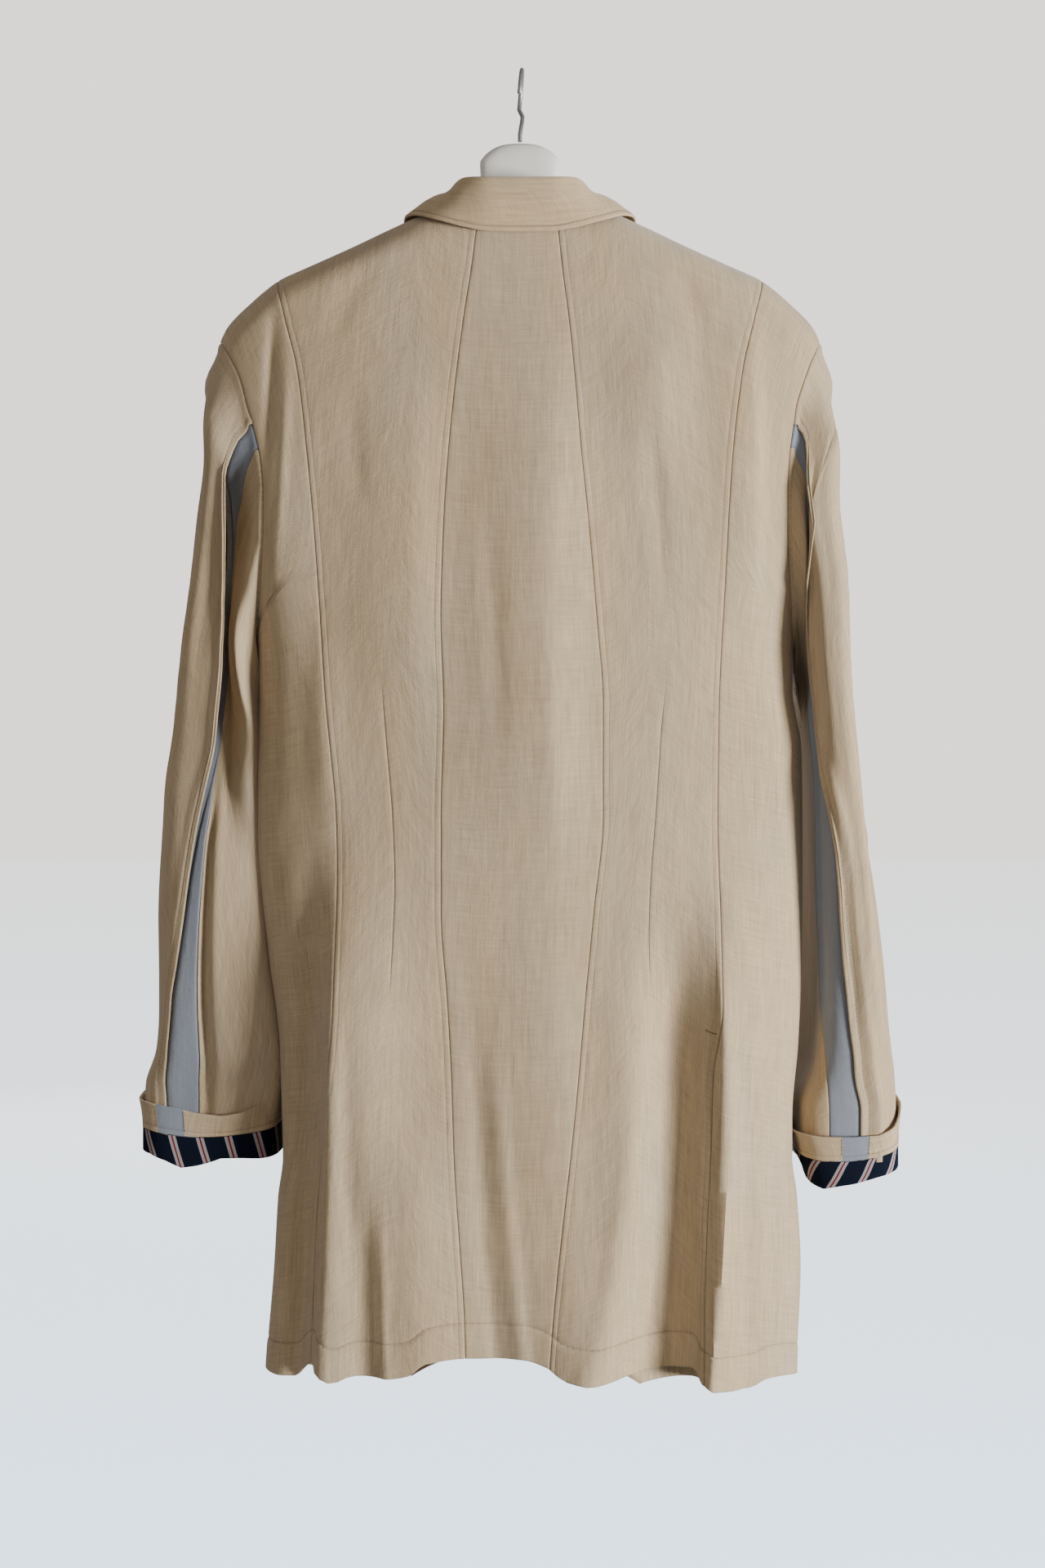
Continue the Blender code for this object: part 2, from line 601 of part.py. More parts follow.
def sleeve_section(side, height, degrees, out=0.0):
    """A place round a sleeve at a height, moved out of its cloth by the given length."""
    rows = LEFT_SLEEVE if side > 0 else RIGHT_SLEEVE
    turned = np.radians(degrees + along(rows, "turn", height))
    beside_stripe = np.exp(-(((degrees - DENT_PLACE) / DENT_SPREAD) ** 2))
    dent = along(rows, "dent", height) * beside_stripe
    half_width = along(rows, "half_width", height) + out - dent
    half_depth = along(rows, "half_depth", height) + out - dent
    x = along(rows, "middle", height) + half_width * np.cos(turned)
    y = along(rows, "behind", height) + half_depth * np.sin(turned)
    return np.stack([side * x, y, np.broadcast_to(height, x.shape)], axis=-1)


def sleeve_degrees(seam_points):
    degrees = along(SLEEVE_ROUND, "degrees", seam_points[:, 2])
    degrees[UNDERARM_ROW + 1:] = 360.0 - degrees[UNDERARM_ROW + 1:]
    return degrees


def sleeve_surface(side):
    """The whole sleeve's points and ways out: rows from the armhole to the end, columns round it."""
    seam, out, away = armhole_loop(side)
    degrees = sleeve_degrees(seam)
    under = smooth((degrees - 98.0) / 44.0) * smooth((262.0 - degrees) / 44.0)
    under = under[:, None]
    rows = [
        seam + away * (SEAM_GAP / 2 + UNDERARM_GAP * under),
        seam + away * SEAM_RUN + out * UNDERARM_STEP * under,
        seam + away * (SLEEVE_RUN - 0.0030 * under) + out * UNDERARM_STAND_OFF * under,
    ]
    start = rows[-1]
    for share in SLEEVE_ROWS:
        height = start[:, 2] + (SLEEVE_END[side] - start[:, 2]) * share
        section = sleeve_section(side, height, degrees)
        gone = smooth((start[:, 2] - height) / CAP_FALL)[:, None]
        row = start + (section - start) * (1 - (1 - gone) ** 1.5)
        row[:, 2] = height
        rows.append(row)
    points = np.array(rows)
    middle = points.mean(axis=1, keepdims=True)
    normals = grid_normals(points, points - middle, ring=True)
    normals[0] = out
    return points, normals, degrees


def make_sleeve(word, side):
    points, normals, degrees = sleeve_surface(side)
    count = points.shape[1]
    front_seam = count - FRONT_SEAM_ROW
    runs = (
        ("sleeve_top_", front_seam, count + STRIPE_ROWS[0], LINEN),
        ("sleeve_stripe_", STRIPE_ROWS[0], STRIPE_ROWS[1], STRIP),
        ("sleeve_under_", STRIPE_ROWS[1], front_seam, LINEN),
    )
    for name, first, last, colour in runs:
        columns = np.arange(first, last + 1) % count
        part_out = normals[:, columns]
        cloth(name + word, drawn_in(points[:, columns], part_out, ("first", "last")), part_out, colour)
    make_cuff(word, side, degrees)


# How far the turned-back cloth lies outside the sleeve, and how its facing's top edge waves and flares.
CUFF_OUT = 0.0021
BAND_WAVE = 0.0025
BAND_FLARE = 0.0022
# The fold's round: where it starts above its lowest line, and where its two quarters lie.
FOLD_ROUND = 0.0016
FOLD_LOW = 0.0003
FOLD_SHARE = 0.55
CUFF = {
    1: table("band_top band_low fold inside", (-815, -836, -857, -816)),
    -1: table("band_top band_low fold inside", (-832, -851, -873.5, -832)),
}


def make_cuff(word, side, degrees):
    """The sleeve's end turned back once: its linen facing, and below it the lining, round the fold."""
    band_top, band_low, fold, inside = (places[0] for places in CUFF[side].values())
    wave = BAND_WAVE * (np.sin(np.radians(2 * degrees + 40)) + 0.6 * np.sin(np.radians(3 * degrees)))
    band = []
    # The band's top edge waves and stands off the sleeve, and its lower edge does neither.
    for loose, flare in ((1.0, BAND_FLARE), (0.5, 0.36 * BAND_FLARE), (0.0, 0.0)):
        height = band_low + (band_top - band_low) * loose + wave * loose
        band.append(sleeve_section(side, height, degrees, CUFF_OUT + flare))
    band = np.array(band)
    middle = band.mean(axis=1, keepdims=True)
    cloth("cuff_band_" + word, band, grid_normals(band, band - middle, ring=True), LINEN, ring=True)
    turn = CUFF_OUT - (WALL - LINING_WALL) / 2 + MM * 0.05
    # Down outside the sleeve from the facing, round the fold, and up inside the sleeve.
    start, low, quarter = fold + FOLD_ROUND, fold + FOLD_LOW, FOLD_SHARE * turn
    route = (
        (band_low - SEAM_GAP, turn), (start, turn), (low, quarter),
        (low, -quarter), (start, -turn), (inside, -turn),
    )
    lining = [sleeve_section(side, np.full(len(degrees), height), degrees, out) for height, out in route]
    lining = np.array(lining)
    outward = np.zeros(lining.shape)
    outward[0] = lining[0] - lining[0].mean(axis=0)
    normals = grid_normals(lining, outward, ring=True)
    cloth("cuff_lining_" + word, lining, normals, LINING, wall=LINING_WALL, ring=True)


def make_buttons():
    for number, height in enumerate(BUTTON_HEIGHTS, 1):
        place, out = on_body(0.0, height, -1, 1)
        base = place + out * (WALL / 2 + SEAM_GAP)
        profile = ((0.0, 0.0), (0.8, 0.0), (1.0, 0.3), (1.0, 0.8), (0.9, 1.0), (0.7, 0.75), (0.0, 0.7))
        turned_solid("button_%d" % number, base, out, profile, BUTTON_RADIUS, BUTTON_THICKNESS, 14, HORN)


def turned_solid(name, base, axis, profile, radius, height, sides, colour):
    """A solid turned round an axis from a profile of shares of its radius and height."""
    axis = axis / np.linalg.norm(axis)
    across = unit(np.cross(axis, (0.0, 0.0, 1.0)))
    up = np.cross(axis, across)
    verts = [base + axis * profile[0][1] * height]
    turns = np.arange(sides) * 2 * np.pi / sides
    for out, rise in profile[1:-1]:
        for turn in turns:
            way = across * np.cos(turn) + up * np.sin(turn)
            verts.append(base + axis * rise * height + out * radius * way)
    verts.append(base + axis * profile[-1][1] * height)
    rings = len(profile) - 2
    faces = []
    for i in range(sides):
        k = (i + 1) % sides
        faces.append((0, 1 + k, 1 + i))
        for ring in range(rings - 1):
            a, b = 1 + ring * sides + i, 1 + ring * sides + k
            faces.append((a, b, b + sides, a + sides))
        end = 1 + (rings - 1) * sides
        faces.append((end + i, end + k, len(verts) - 1))
    return solid(name, verts, faces, colour, 0.4)


# The hanger, by the distance from its middle: its top and bottom, and its half depth.
HANGER = table(
    "across top low half_depth",
    (0, -54, -122, 11), (12, -54.8, -124, 11), (20, -57.5, -126, 11.5), (28, -63, -128, 12),
    (34, -73, -130, 12), (38, -87, -132, 12), (42, -99, -133, 12), (48, -108, -136, 12),
    (58, -115, -140, 12), (72, -116, -146, 12), (94, -122.8, -155, 13), (131, -139.8, -170, 15),
    (166, -154.8, -185, 17), (187, -163.8, -195, 18), (200, -173, -201, 16), (209, -181, -205, 12),
    (215, -188, -206, 7), (217, -194, -202, 3),
)


def make_hanger():
    sides = 12
    turns = (np.arange(sides) + 0.5) * 2 * np.pi / sides
    stations = np.concatenate([-HANGER["across"][:0:-1], HANGER["across"]])
    verts = []
    for x in stations:
        top, low, half_depth = (along(HANGER, name, abs(x)) for name in ("top", "low", "half_depth"))
        middle = -SHOULDER_FORWARD * (x / SHOULDER_HALF_WIDTH) ** 2
        for turn in turns:
            across, rise = np.sin(turn), np.cos(turn)
            size = (abs(across) ** 2.4 + abs(rise) ** 2.4) ** (1 / 2.4)
            y = middle + half_depth * across / size
            z = (top + low) / 2 + (top - low) / 2 * rise / size
            verts.append((x, y, z))
    faces = []
    for i in range(len(stations) - 1):
        for j in range(sides):
            k = (j + 1) % sides
            faces.append((i * sides + j, (i + 1) * sides + j, (i + 1) * sides + k, i * sides + k))
    faces.append(tuple(range(sides)))
    end = (len(stations) - 1) * sides
    faces.append(tuple(end + j for j in range(sides))[::-1])
    solid("hanger", verts, faces, HANGER_WHITE, 0.35)


def make_hook():
    """A wire hook: a stem from the hanger, bowed to the front, and a round that ends behind."""
    centre_z = HOOK_WIRE / 2 - HOOK_RADIUS
    route = [(0.0, 0.0, HANGER["top"][0] + SEAM_GAP), (0.0, 0.0, -0.0485), (-0.0008, -0.0012, -0.0425)]
    route += [(-0.0016, -0.0062, -0.0362), (-0.002, -0.0128, -0.0302)]
    for degrees in np.linspace(205, -14, 19):
        turn = np.radians(degrees)
        up = np.sin(turn)
        route.append((-0.0016 * up, HOOK_RADIUS * np.cos(turn), centre_z + HOOK_RADIUS * up))
    curve = bpy.data.curves.new("hanger_hook", "CURVE")
    curve.dimensions = "3D"
    curve.bevel_depth = HOOK_WIRE / 2
    curve.bevel_resolution = 2
    curve.use_fill_caps = True
    spline = curve.splines.new("POLY")
    spline.points.add(len(route) - 1)
    for point, place in zip(spline.points, route):
        point.co = (*place, 1)
    obj = bpy.data.objects.new("hanger_hook", curve)
    bpy.context.scene.collection.objects.link(obj)
    dress(obj, STEEL, 0.3, 1.0)


def clear_scene():
    for obj in list(bpy.data.objects):
        bpy.data.objects.remove(obj)


clear_scene()
make_body()
for word, side in (("left", 1), ("right", -1)):
    make_lapel(word, side)
    make_sleeve(word, side)
make_collar()
make_buttons()
make_hanger()
make_hook()
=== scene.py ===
"""A long, soft linen blazer on its hanger, seen from behind.

Metres, +Z up. The origin is the inside top of the hanger's hook, the blazer's front faces -Y and the
wearer's left is +X. The sections follow the order in which the blazer is hung and sewn.
"""

from functools import partial

import bpy
import numpy as np
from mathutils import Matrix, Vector


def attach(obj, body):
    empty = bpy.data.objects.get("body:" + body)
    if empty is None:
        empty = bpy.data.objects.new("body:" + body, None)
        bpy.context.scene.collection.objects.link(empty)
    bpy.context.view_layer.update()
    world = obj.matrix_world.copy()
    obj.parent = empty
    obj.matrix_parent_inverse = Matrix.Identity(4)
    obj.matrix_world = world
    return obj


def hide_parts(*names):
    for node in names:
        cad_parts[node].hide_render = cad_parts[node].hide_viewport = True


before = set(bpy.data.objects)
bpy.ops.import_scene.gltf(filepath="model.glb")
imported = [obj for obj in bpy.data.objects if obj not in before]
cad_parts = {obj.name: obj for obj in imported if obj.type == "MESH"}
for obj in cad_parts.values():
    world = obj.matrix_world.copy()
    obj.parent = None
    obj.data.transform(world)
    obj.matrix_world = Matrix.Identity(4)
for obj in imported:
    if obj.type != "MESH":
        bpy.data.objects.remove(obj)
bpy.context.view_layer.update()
bpy.ops.object.select_all(action="DESELECT")

MM = 0.001


# The hanger's body. One hollow moulding of ivory plastic with a high round dome and broad shoulders. Its
# solid has the right form, so a copy of it is merged and rounded.


def finish_piece(piece, slot, *nodes):
    """The piece goes with the blazer and stands for its solids."""
    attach(piece, "root")
    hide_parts(*nodes)


def own_material(name, colour, roughness, metallic=0.0):
    material = bpy.data.materials.new(name)
    material.use_nodes = True
    shader = material.node_tree.nodes["Principled BSDF"]
    shader.inputs["Base Color"].default_value = (*colour, 1)
    shader.inputs["Roughness"].default_value = roughness
    shader.inputs["Metallic"].default_value = metallic
    return material, material.node_tree, shader


def add_node(tree, kind, settings=None, **inputs):
    """A node with its settings, and its inputs given as values or as other nodes' outputs."""
    node = tree.nodes.new(kind)
    for key, value in (settings or {}).items():
        setattr(node, key, value)
    for key, value in inputs.items():
        place = int(key[1:]) if key[1:].isdigit() else key.replace("_", " ")
        socket = node.inputs[place]
        if isinstance(value, bpy.types.NodeSocket):
            tree.links.new(value, socket)
        else:
            socket.default_value = value
    return node


def add_maths(tree, operation, *values):
    """A sum, as a node, of values or of other nodes' outputs."""
    inputs = {"_%d" % i: value for i, value in enumerate(values)}
    return add_node(tree, "ShaderNodeMath", {"operation": operation}, **inputs).outputs[0]


def add_scaled(tree, colour, amount):
    settings = {"operation": "SCALE"}
    return add_node(tree, "ShaderNodeVectorMath", settings, _0=colour, Scale=amount).outputs[0]


def add_relief(tree, height, strength, distance, **under):
    """A bump from a height, over another one if that is given."""
    settings = {"Strength": strength, "Distance": distance, "Height": height}
    return add_node(tree, "ShaderNodeBump", **settings, **under).outputs["Normal"]


def connect(tree, ends, **sources):
    for name, source in sources.items():
        tree.links.new(source, ends[name.replace("_", " ")])


def group_sockets(tree, inputs, outputs):
    """The group's sockets, as name and kind, with a value for each input."""
    for name, kind, value in inputs:
        socket = tree.interface.new_socket(name, in_out="INPUT", socket_type=kind)
        socket.default_value = value
    for name, kind in outputs:
        tree.interface.new_socket(name, in_out="OUTPUT", socket_type=kind)
    return tree.nodes.new("NodeGroupInput").outputs, tree.nodes.new("NodeGroupOutput").inputs


def make_wear_group():
    """Handled surfaces: a colour that varies a little, a roughness that follows, and fine scuffs."""
    tree = bpy.data.node_groups.new("handling wear", "ShaderNodeTree")
    given, out = group_sockets(
        tree,
        (("Colour", "NodeSocketColor", (1, 1, 1, 1)), ("Roughness", "NodeSocketFloat", 0.4),
         ("Size", "NodeSocketFloat", 40.0), ("Spread", "NodeSocketFloat", 0.1)),
        (("Colour", "NodeSocketColor"), ("Roughness", "NodeSocketFloat"), ("Height", "NodeSocketFloat")),
    )
    place = add_node(tree, "ShaderNodeTexCoord").outputs["Object"]
    clouds = add_node(tree, "ShaderNodeTexNoise", Vector=place, Scale=given["Size"], Detail=4.0)
    fine = add_node(tree, "ShaderNodeTexNoise", Vector=place, Scale=900.0, Detail=2.0)
    amount = add_maths(tree, "SUBTRACT", clouds.outputs["Fac"], 0.5)
    amount = add_maths(tree, "MULTIPLY", amount, given["Spread"])
    tinted = add_scaled(tree, given["Colour"], add_maths(tree, "ADD", amount, 1.0))
    rough = add_maths(tree, "ADD", given["Roughness"], amount)
    connect(tree, out, Colour=tinted, Roughness=rough, Height=fine.outputs["Fac"])
    return tree


WEAR = make_wear_group()


def worn(name, colour, roughness, metallic=0.0, size=40.0, spread=0.1, bump=0.03):
    """A handled hard finish, from the shared wear group."""
    material, tree, shader = own_material(name, colour, roughness, metallic)
    wear = add_node(
        tree, "ShaderNodeGroup", {"node_tree": WEAR},
        Colour=(*colour, 1), Roughness=roughness, Size=size, Spread=spread,
    )
    tint, rough, height = (wear.outputs[name] for name in ("Colour", "Roughness", "Height"))
    relief = add_relief(tree, height, bump, 0.0004)
    connect(tree, shader.inputs, Base_Color=tint, Roughness=rough, Normal=relief)
    return material


def take_piece(name, node):
    """A copy of a solid's mesh, merged and turned to quads, ready to be worked on."""
    piece = bpy.data.objects.new(name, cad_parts[node].data.copy())
    bpy.context.scene.collection.objects.link(piece)
    piece.data.materials.clear()
    bpy.ops.object.select_all(action="DESELECT")
    piece.select_set(True)
    bpy.context.view_layer.objects.active = piece
    bpy.ops.object.mode_set(mode="EDIT")
    bpy.ops.mesh.select_all(action="SELECT")
    bpy.ops.mesh.remove_doubles(threshold=0.00001)
    bpy.ops.mesh.tris_convert_to_quads()
    bpy.ops.object.mode_set(mode="OBJECT")
    return piece


def rounded(piece, levels):
    """The piece with a subdivision surface applied."""
    surface = piece.modifiers.new("Rounding", "SUBSURF")
    surface.levels = levels
    surface.render_levels = levels
    bpy.ops.object.modifier_apply(modifier=surface.name)
    bpy.ops.object.shade_smooth()


hanger = take_piece("hanger_body", "hanger")
rounded(hanger, 2)
# The dome's sides are drawn in a little between its foot and its top.
DOME_FOOT, DOME_TOP, DOME_DRAWN = -0.106, -0.070, 0.16
for vert in hanger.data.vertices:
    up_dome = min(max((vert.co.z - DOME_FOOT) / (DOME_TOP - DOME_FOOT), 0.0), 1.0)
    vert.co.x *= 1.0 - DOME_DRAWN * np.sin(np.pi * up_dome)
hanger.data.materials.append(worn("ivory moulded plastic", (0.80, 0.78, 0.72), 0.38, size=25.0, spread=0.06))
finish_piece(hanger, "hanger_plastic", "hanger")


# The hook. Steel wire 3.5 mm thick, set in the dome, bowed forwards and bent round into an open hook whose
# end is ground round.

HOOK_WIRE = 0.0035
HOOK_RADIUS = 0.018
middle_z = HOOK_WIRE / 2 - HOOK_RADIUS
hook_route = [(0.0, 0.0, -0.0537), (0.0, 0.0, -0.0485), (-0.0008, -0.0012, -0.0425)]
hook_route += [(-0.0016, -0.0062, -0.0362), (-0.002, -0.0128, -0.0302)]
for degrees in np.linspace(205, -13, 40):
    up = np.sin(np.radians(degrees))
    hook_route.append((-0.0016 * up, HOOK_RADIUS * np.cos(np.radians(degrees)), middle_z + HOOK_RADIUS * up))
bpy.ops.curve.primitive_bezier_curve_add()
hook = bpy.context.object
hook.name = "hook_wire"
hook.data.splines.clear()
wire = hook.data.splines.new("POLY")
wire.points.add(len(hook_route) - 1)
for bend, place in zip(wire.points, hook_route):
    bend.co = (*place, 1)
hook.data.bevel_depth = HOOK_WIRE / 2
hook.data.bevel_resolution = 4
hook.data.use_fill_caps = True
bpy.ops.object.convert(target="MESH")
bpy.ops.object.shade_smooth_by_angle(angle=np.radians(40))
bpy.ops.mesh.primitive_uv_sphere_add(
    segments=16, ring_count=8, radius=HOOK_WIRE / 2, location=hook_route[-1]
)
bpy.ops.object.transform_apply(location=True, rotation=True, scale=True)
bpy.ops.object.shade_smooth()
hook.select_set(True)
bpy.context.view_layer.objects.active = hook
bpy.ops.object.join()
hook.data.materials.append(worn("drawn steel wire", (0.30, 0.295, 0.285), 0.42, metallic=0.7, size=120.0))
finish_piece(hook, "hook_wire", "hanger_hook")


# The back. Plain-weave linen in its natural beige, cut as five long panels, two of them with a waist dart.
# They are sewn with plain seams, topstitched beside them, and a hem is turned up. The cloth is soft and
# heavy, so it hangs in long folds.

# How square the body's level section is: 2 would be an ellipse.
SQUARENESS = 3.0
# The body cloth's half width at shoulder height, as if the armhole weren't cut.
SHOULDER_HALF_WIDTH = 0.245
# How far the shoulders lie forward of the neck, and how far the cloth falls while it rounds their ridge.
SHOULDER_FORWARD = 0.010
RIDGE_FALL = 0.030
NECK_HALF_WIDTH = 0.072
NECK_DROP = 0.023
UNDERARM_HEIGHT = -0.455
# The cloth's thickness. The left front lies over the right one as far as the button stand.
CLOTH = 0.0008
LEFT_FRONT_LIFT = 0.0042
RIGHT_FRONT_LIFT = -0.0030
BUTTON_STAND = 0.020
# How far a stitched line is pressed in, and how far its stitches stand out of it.
LINE_SUNK = 0.0003
STITCH_PROUD = 0.0002

NOT_LENGTHS = ("share", "degrees", "turn")


def table(columns, *rows):
    """A short table of sizes in millimetres, as its named columns, with every length in metres."""
    names = columns.split()
    scales = [1.0 if name.split("_")[0] in NOT_LENGTHS else MM for name in names]
    return dict(zip(names, (np.array(rows, float) * scales).T))


def smooth(share):
    """0 below 0, 1 above 1, and an even S between."""
    share = np.clip(share, 0.0, 1.0)
    return share * share * (3.0 - 2.0 * share)


def along(rows, column, at):
    """A table's column read at a place in its first column, on a smooth curve that doesn't overshoot."""
    places = next(iter(rows.values()))
    order = np.argsort(places)
    places = places[order]
    values = rows[column][order]
    steps = np.diff(places)
    slopes = np.diff(values) / steps
    tangents = np.zeros(len(values))
    tangents[[0, -1]] = slopes[[0, -1]]
    before, after = slopes[:-1], slopes[1:]
    same_way = before * after > 0
    total = np.where(same_way, before + after, 1.0)
    tangents[1:-1] = np.where(same_way, 2.0 * before * after / total, 0.0)
    at = np.clip(at, places[0], places[-1])
    row = np.clip(np.searchsorted(places, at) - 1, 0, len(steps) - 1)
    share = (at - places[row]) / steps[row]
    lead = share * (1.0 - share) ** 2 * steps[row]
    trail = share * share * (share - 1.0) * steps[row]
    between = values[row] + (values[row + 1] - values[row]) * smooth(share)
    return between + tangents[row] * lead + tangents[row + 1] * trail


# The shoulder's ridge, which carries the shoulder seams.
SHOULDER = table(
    "across height",
    (0, -106), (50, -108), (72, -112), (94, -121), (131, -138), (166, -153), (187, -162),
    (200, -171), (213, -182), (222, -190), (230, -199), (236, -211), (245, -232),
)
# The body cloth's level sections: half width each side, and depth behind and in front.
BODY = table(
    "height left right back front",
    (-100, 245, 245, 41, 40), (-150, 245, 245, 43, 45), (-200, 245, 245, 48, 52),
    (-250, 245, 245, 54, 60), (-300, 243, 243, 58, 67), (-350, 237, 238, 60, 71),
    (-400, 223, 226, 61, 74), (-430, 213, 218, 61, 75), (-455, 207, 214, 61, 76),
    (-485, 205, 214, 61, 76), (-530, 207, 221, 60, 75), (-600, 210, 222, 59, 74),
    (-700, 198, 221, 60, 75), (-760, 189, 218, 61, 76), (-818, 185, 213, 63, 78),
    (-850, 184, 213, 64, 79), (-880, 188, 217, 65, 80), (-935, 191, 220, 67, 82),
    (-1010, 197, 217, 70, 84), (-1060, 199, 216, 71, 85),
)
# The seams of the back, as distances from the centre line.
SEAMS = table(
    "height inner_left inner_right outer_left outer_right",
    (-110, 31, 27, 197, 196), (-160, 37, 32, 190, 190), (-200, 43, 37, 181, 180),
    (-240, 48, 41, 171, 170), (-300, 54, 46, 163, 162), (-360, 58, 52, 157, 158),
    (-430, 60, 58, 152, 155), (-500, 58, 63, 147, 152), (-583, 60, 63, 140, 151),
    (-654, 60, 56, 138, 152), (-725, 55, 49, 138, 151), (-782, 52, 44, 141, 145),
    (-840, 50, 38, 149, 143), (-900, 46, 31, 154, 140), (-960, 42, 25, 156, 138),
    (-1030, 40, 20, 158, 136),
)
# The waist darts, which close up above and below.
DARTS = table(
    "height left right",
    (-110, 84, 90), (-468, 105, 111), (-521, 102, 107), (-583, 97, 103), (-635, 95, 99), (-671, 96, 98),
    (-720, 98, 99), (-830, 100, 98), (-1030, 98, 92),
)
DART_TOP = -0.468
DART_LOW = -0.722
DART_TAPER = (0.05, 0.03)
ARMHOLE = table(
    "height left right",
    (-211, 236, 236), (-220, 229, 231), (-230, 223, 226), (-245, 216, 220), (-267, 210, 213),
    (-280, 206, 211), (-309, 199, 207), (-335, 196, 206), (-361, 196, 206), (-395, 198, 208),
    (-430, 202, 211), (-455, 207, 214),
)
# The hem's height round the body, by the angle from the centre back.
HEM = table(
    "degrees height",
    (-180, -1036), (-172, -1042), (-166, -1048), (-160, -1052), (-145, -1046), (-120, -1032),
    (-90, -1022), (-76, -1018), (-50, -1012), (-45, -1016), (-37, -1015), (-34.5, -1010), (-33, -998),
    (-28, -1001), (-21, -1004), (-14, -1008), (-9, -1005), (-5, -995), (0, -990), (12, -990),
    (20, -993), (24, -1003), (28, -1005), (35, -1004), (39, -1009), (42, -1004), (45, -998),
    (53, -1012), (70, -1012), (90, -1016), (120, -1026), (140, -1036), (155, -1044), (163, -1041),
    (168, -1036), (180, -1030),
)
# Folds of the body cloth: where each starts and ends, its line across, its spread each way and its
# height out of the cloth, which is negative for a hollow. The long ones come first, then the creases.
FOLD_COLUMNS = "top low across_top across_mid across_low to_left to_right rise"
BACK_FOLDS = table(
    FOLD_COLUMNS,
    (-560, -1020, 133, 138, 153, 32, 46, 16), (-590, -1020, 160, 160, 169, 11, 13, -13),
    (-860, -1020, 116, 114, 113, 9, 9, -5), (-800, -1020, 82, 78, 74, 30, 30, 8),
    (-600, -1020, -22, -26, -40, 46, 26, 7), (-640, -1020, -92, -84, -58, 32, 22, 10),
    (-620, -1020, -114, -114, -104, 24, 20, -13), (-590, -1020, -157, -155, -145, 22, 36, 15),
    (-190, -560, 84, 84, 84, 46, 22, 5), (-150, -720, -20, -20, -22, 56, 26, 11),
    (-190, -330, -104, -104, -104, 34, 20, 5), (-170, -470, -177, -177, -178, 28, 9, 6),
    (-230, -580, 184, 184, 176, 14, 30, 5), (-420, -620, 150, 150, 146, 10, 16, 3),
)
FRONT_FOLDS = table(
    FOLD_COLUMNS,
    (-470, -1060, 118, 124, 132, 20, 34, 11), (-520, -1060, 150, 156, 162, 14, 14, -11),
    (-500, -1060, 70, 66, 72, 26, 26, -7), (-450, -1060, -112, -116, -128, 32, 18, 11),
    (-540, -1060, -150, -152, -158, 14, 14, -12), (-560, -1060, -74, -70, -78, 24, 24, -8),
    (-230, -420, 150, 146, 140, 18, 18, -5), (-230, -420, -152, -148, -142, 18, 18, -5),
)
BACK_CREASES = table(
    FOLD_COLUMNS,
    (-180, -330, 190, 192, 196, 4, 5, -3), (-200, -420, 178, 180, 186, 4, 4, 1.5),
    (-640, -1020, 143, 141, 149, 3.5, 9, 5), (-700, -1020, 151, 150, 158, 4, 5, -4),
    (-700, -1020, 168, 169, 176, 5, 5, -3),
    (-740, -1020, 128, 127, 122, 5, 7, -2.5), (-850, -1020, 106, 104, 100, 5, 6, 1.8),
    (-690, -1020, 34, 30, 14, 6, 9, -2), (-720, -1020, 20, 10, -6, 7, 5, 1.8),
    (-640, -1020, -147, -151, -139, 3.5, 6, 5), (-700, -1020, -124, -122, -110, 6, 8, -2),
    (-760, -1020, -84, -76, -46, 6, 9, 2.5), (-690, -1020, -168, -170, -168, 6, 6, -3),
    (-260, -430, -98, -104, -112, 5, 7, -1.6), (-240, -360, 132, 126, 118, 5, 5, -1.4),
    (-330, -560, 24, 18, 16, 6, 6, -1.4), (-420, -620, -20, -24, -30, 7, 6, 1.3),
    (-150, -230, -120, -132, -150, 8, 8, -1.6), (-150, -230, 118, 134, 152, 8, 8, -1.6),
)
FRONT_CREASES = table(
    FOLD_COLUMNS,
    (-240, -420, 168, 160, 150, 5, 7, -2.5), (-240, -420, -168, -162, -150, 7, 5, -2.5),
    (-520, -1060, 138, 140, 146, 5, 8, 3), (-620, -1060, 96, 98, 104, 6, 6, -2),
    (-560, -1060, -134, -138, -144, 8, 5, 3), (-640, -1060, -96, -94, -100, 6, 6, -2),
    (-700, -1060, 44, 46, 58, 8, 8, 2), (-700, -1060, -44, -48, -60, 8, 8, 2),
    (-430, -640, 60, 40, 24, 8, 8, -1.8), (-430, -640, -60, -44, -26, 8, 8, -1.8),
)
# A fold that ends lower than this runs on to the hem.
FOLDS_RUN_OUT = -0.9

# The body cloth's length down the back and the armhole's depth.
BODY_LENGTH = 0.830
UNDERARM_FALL = 0.238
# The hem's stitched line, and how far the turned-up cloth fills the hem out.
HEM_DEPTH = 0.0245
HEM_FILL = 0.0005


def evenly(step, *stops):
    """Places from the first stop to the last, near a step apart, with each stop among them."""
    runs = []
    for here, there in zip(stops, stops[1:]):
        count = max(1, round((there - here) / step))
        runs.append(np.linspace(here, there, count + 1)[:-1])
    return np.concatenate([*runs, stops[-1:]])


# Rows of the cloth, close together beside the shoulder seam and the hem's stitches.
body_end = 830
hem_line = body_end - 24.5
ROW_FALLS = MM / BODY_LENGTH * np.concatenate([
    (0, 0.8, 1.8, 3.2), evenly(4.6, 5, 103, 138, 168, 238, hem_line - 4),
    (hem_line - 2, hem_line - 0.8, hem_line, hem_line + 0.8, hem_line + 2),
    evenly(4.2, hem_line + 5, body_end - 1), (body_end,),
])


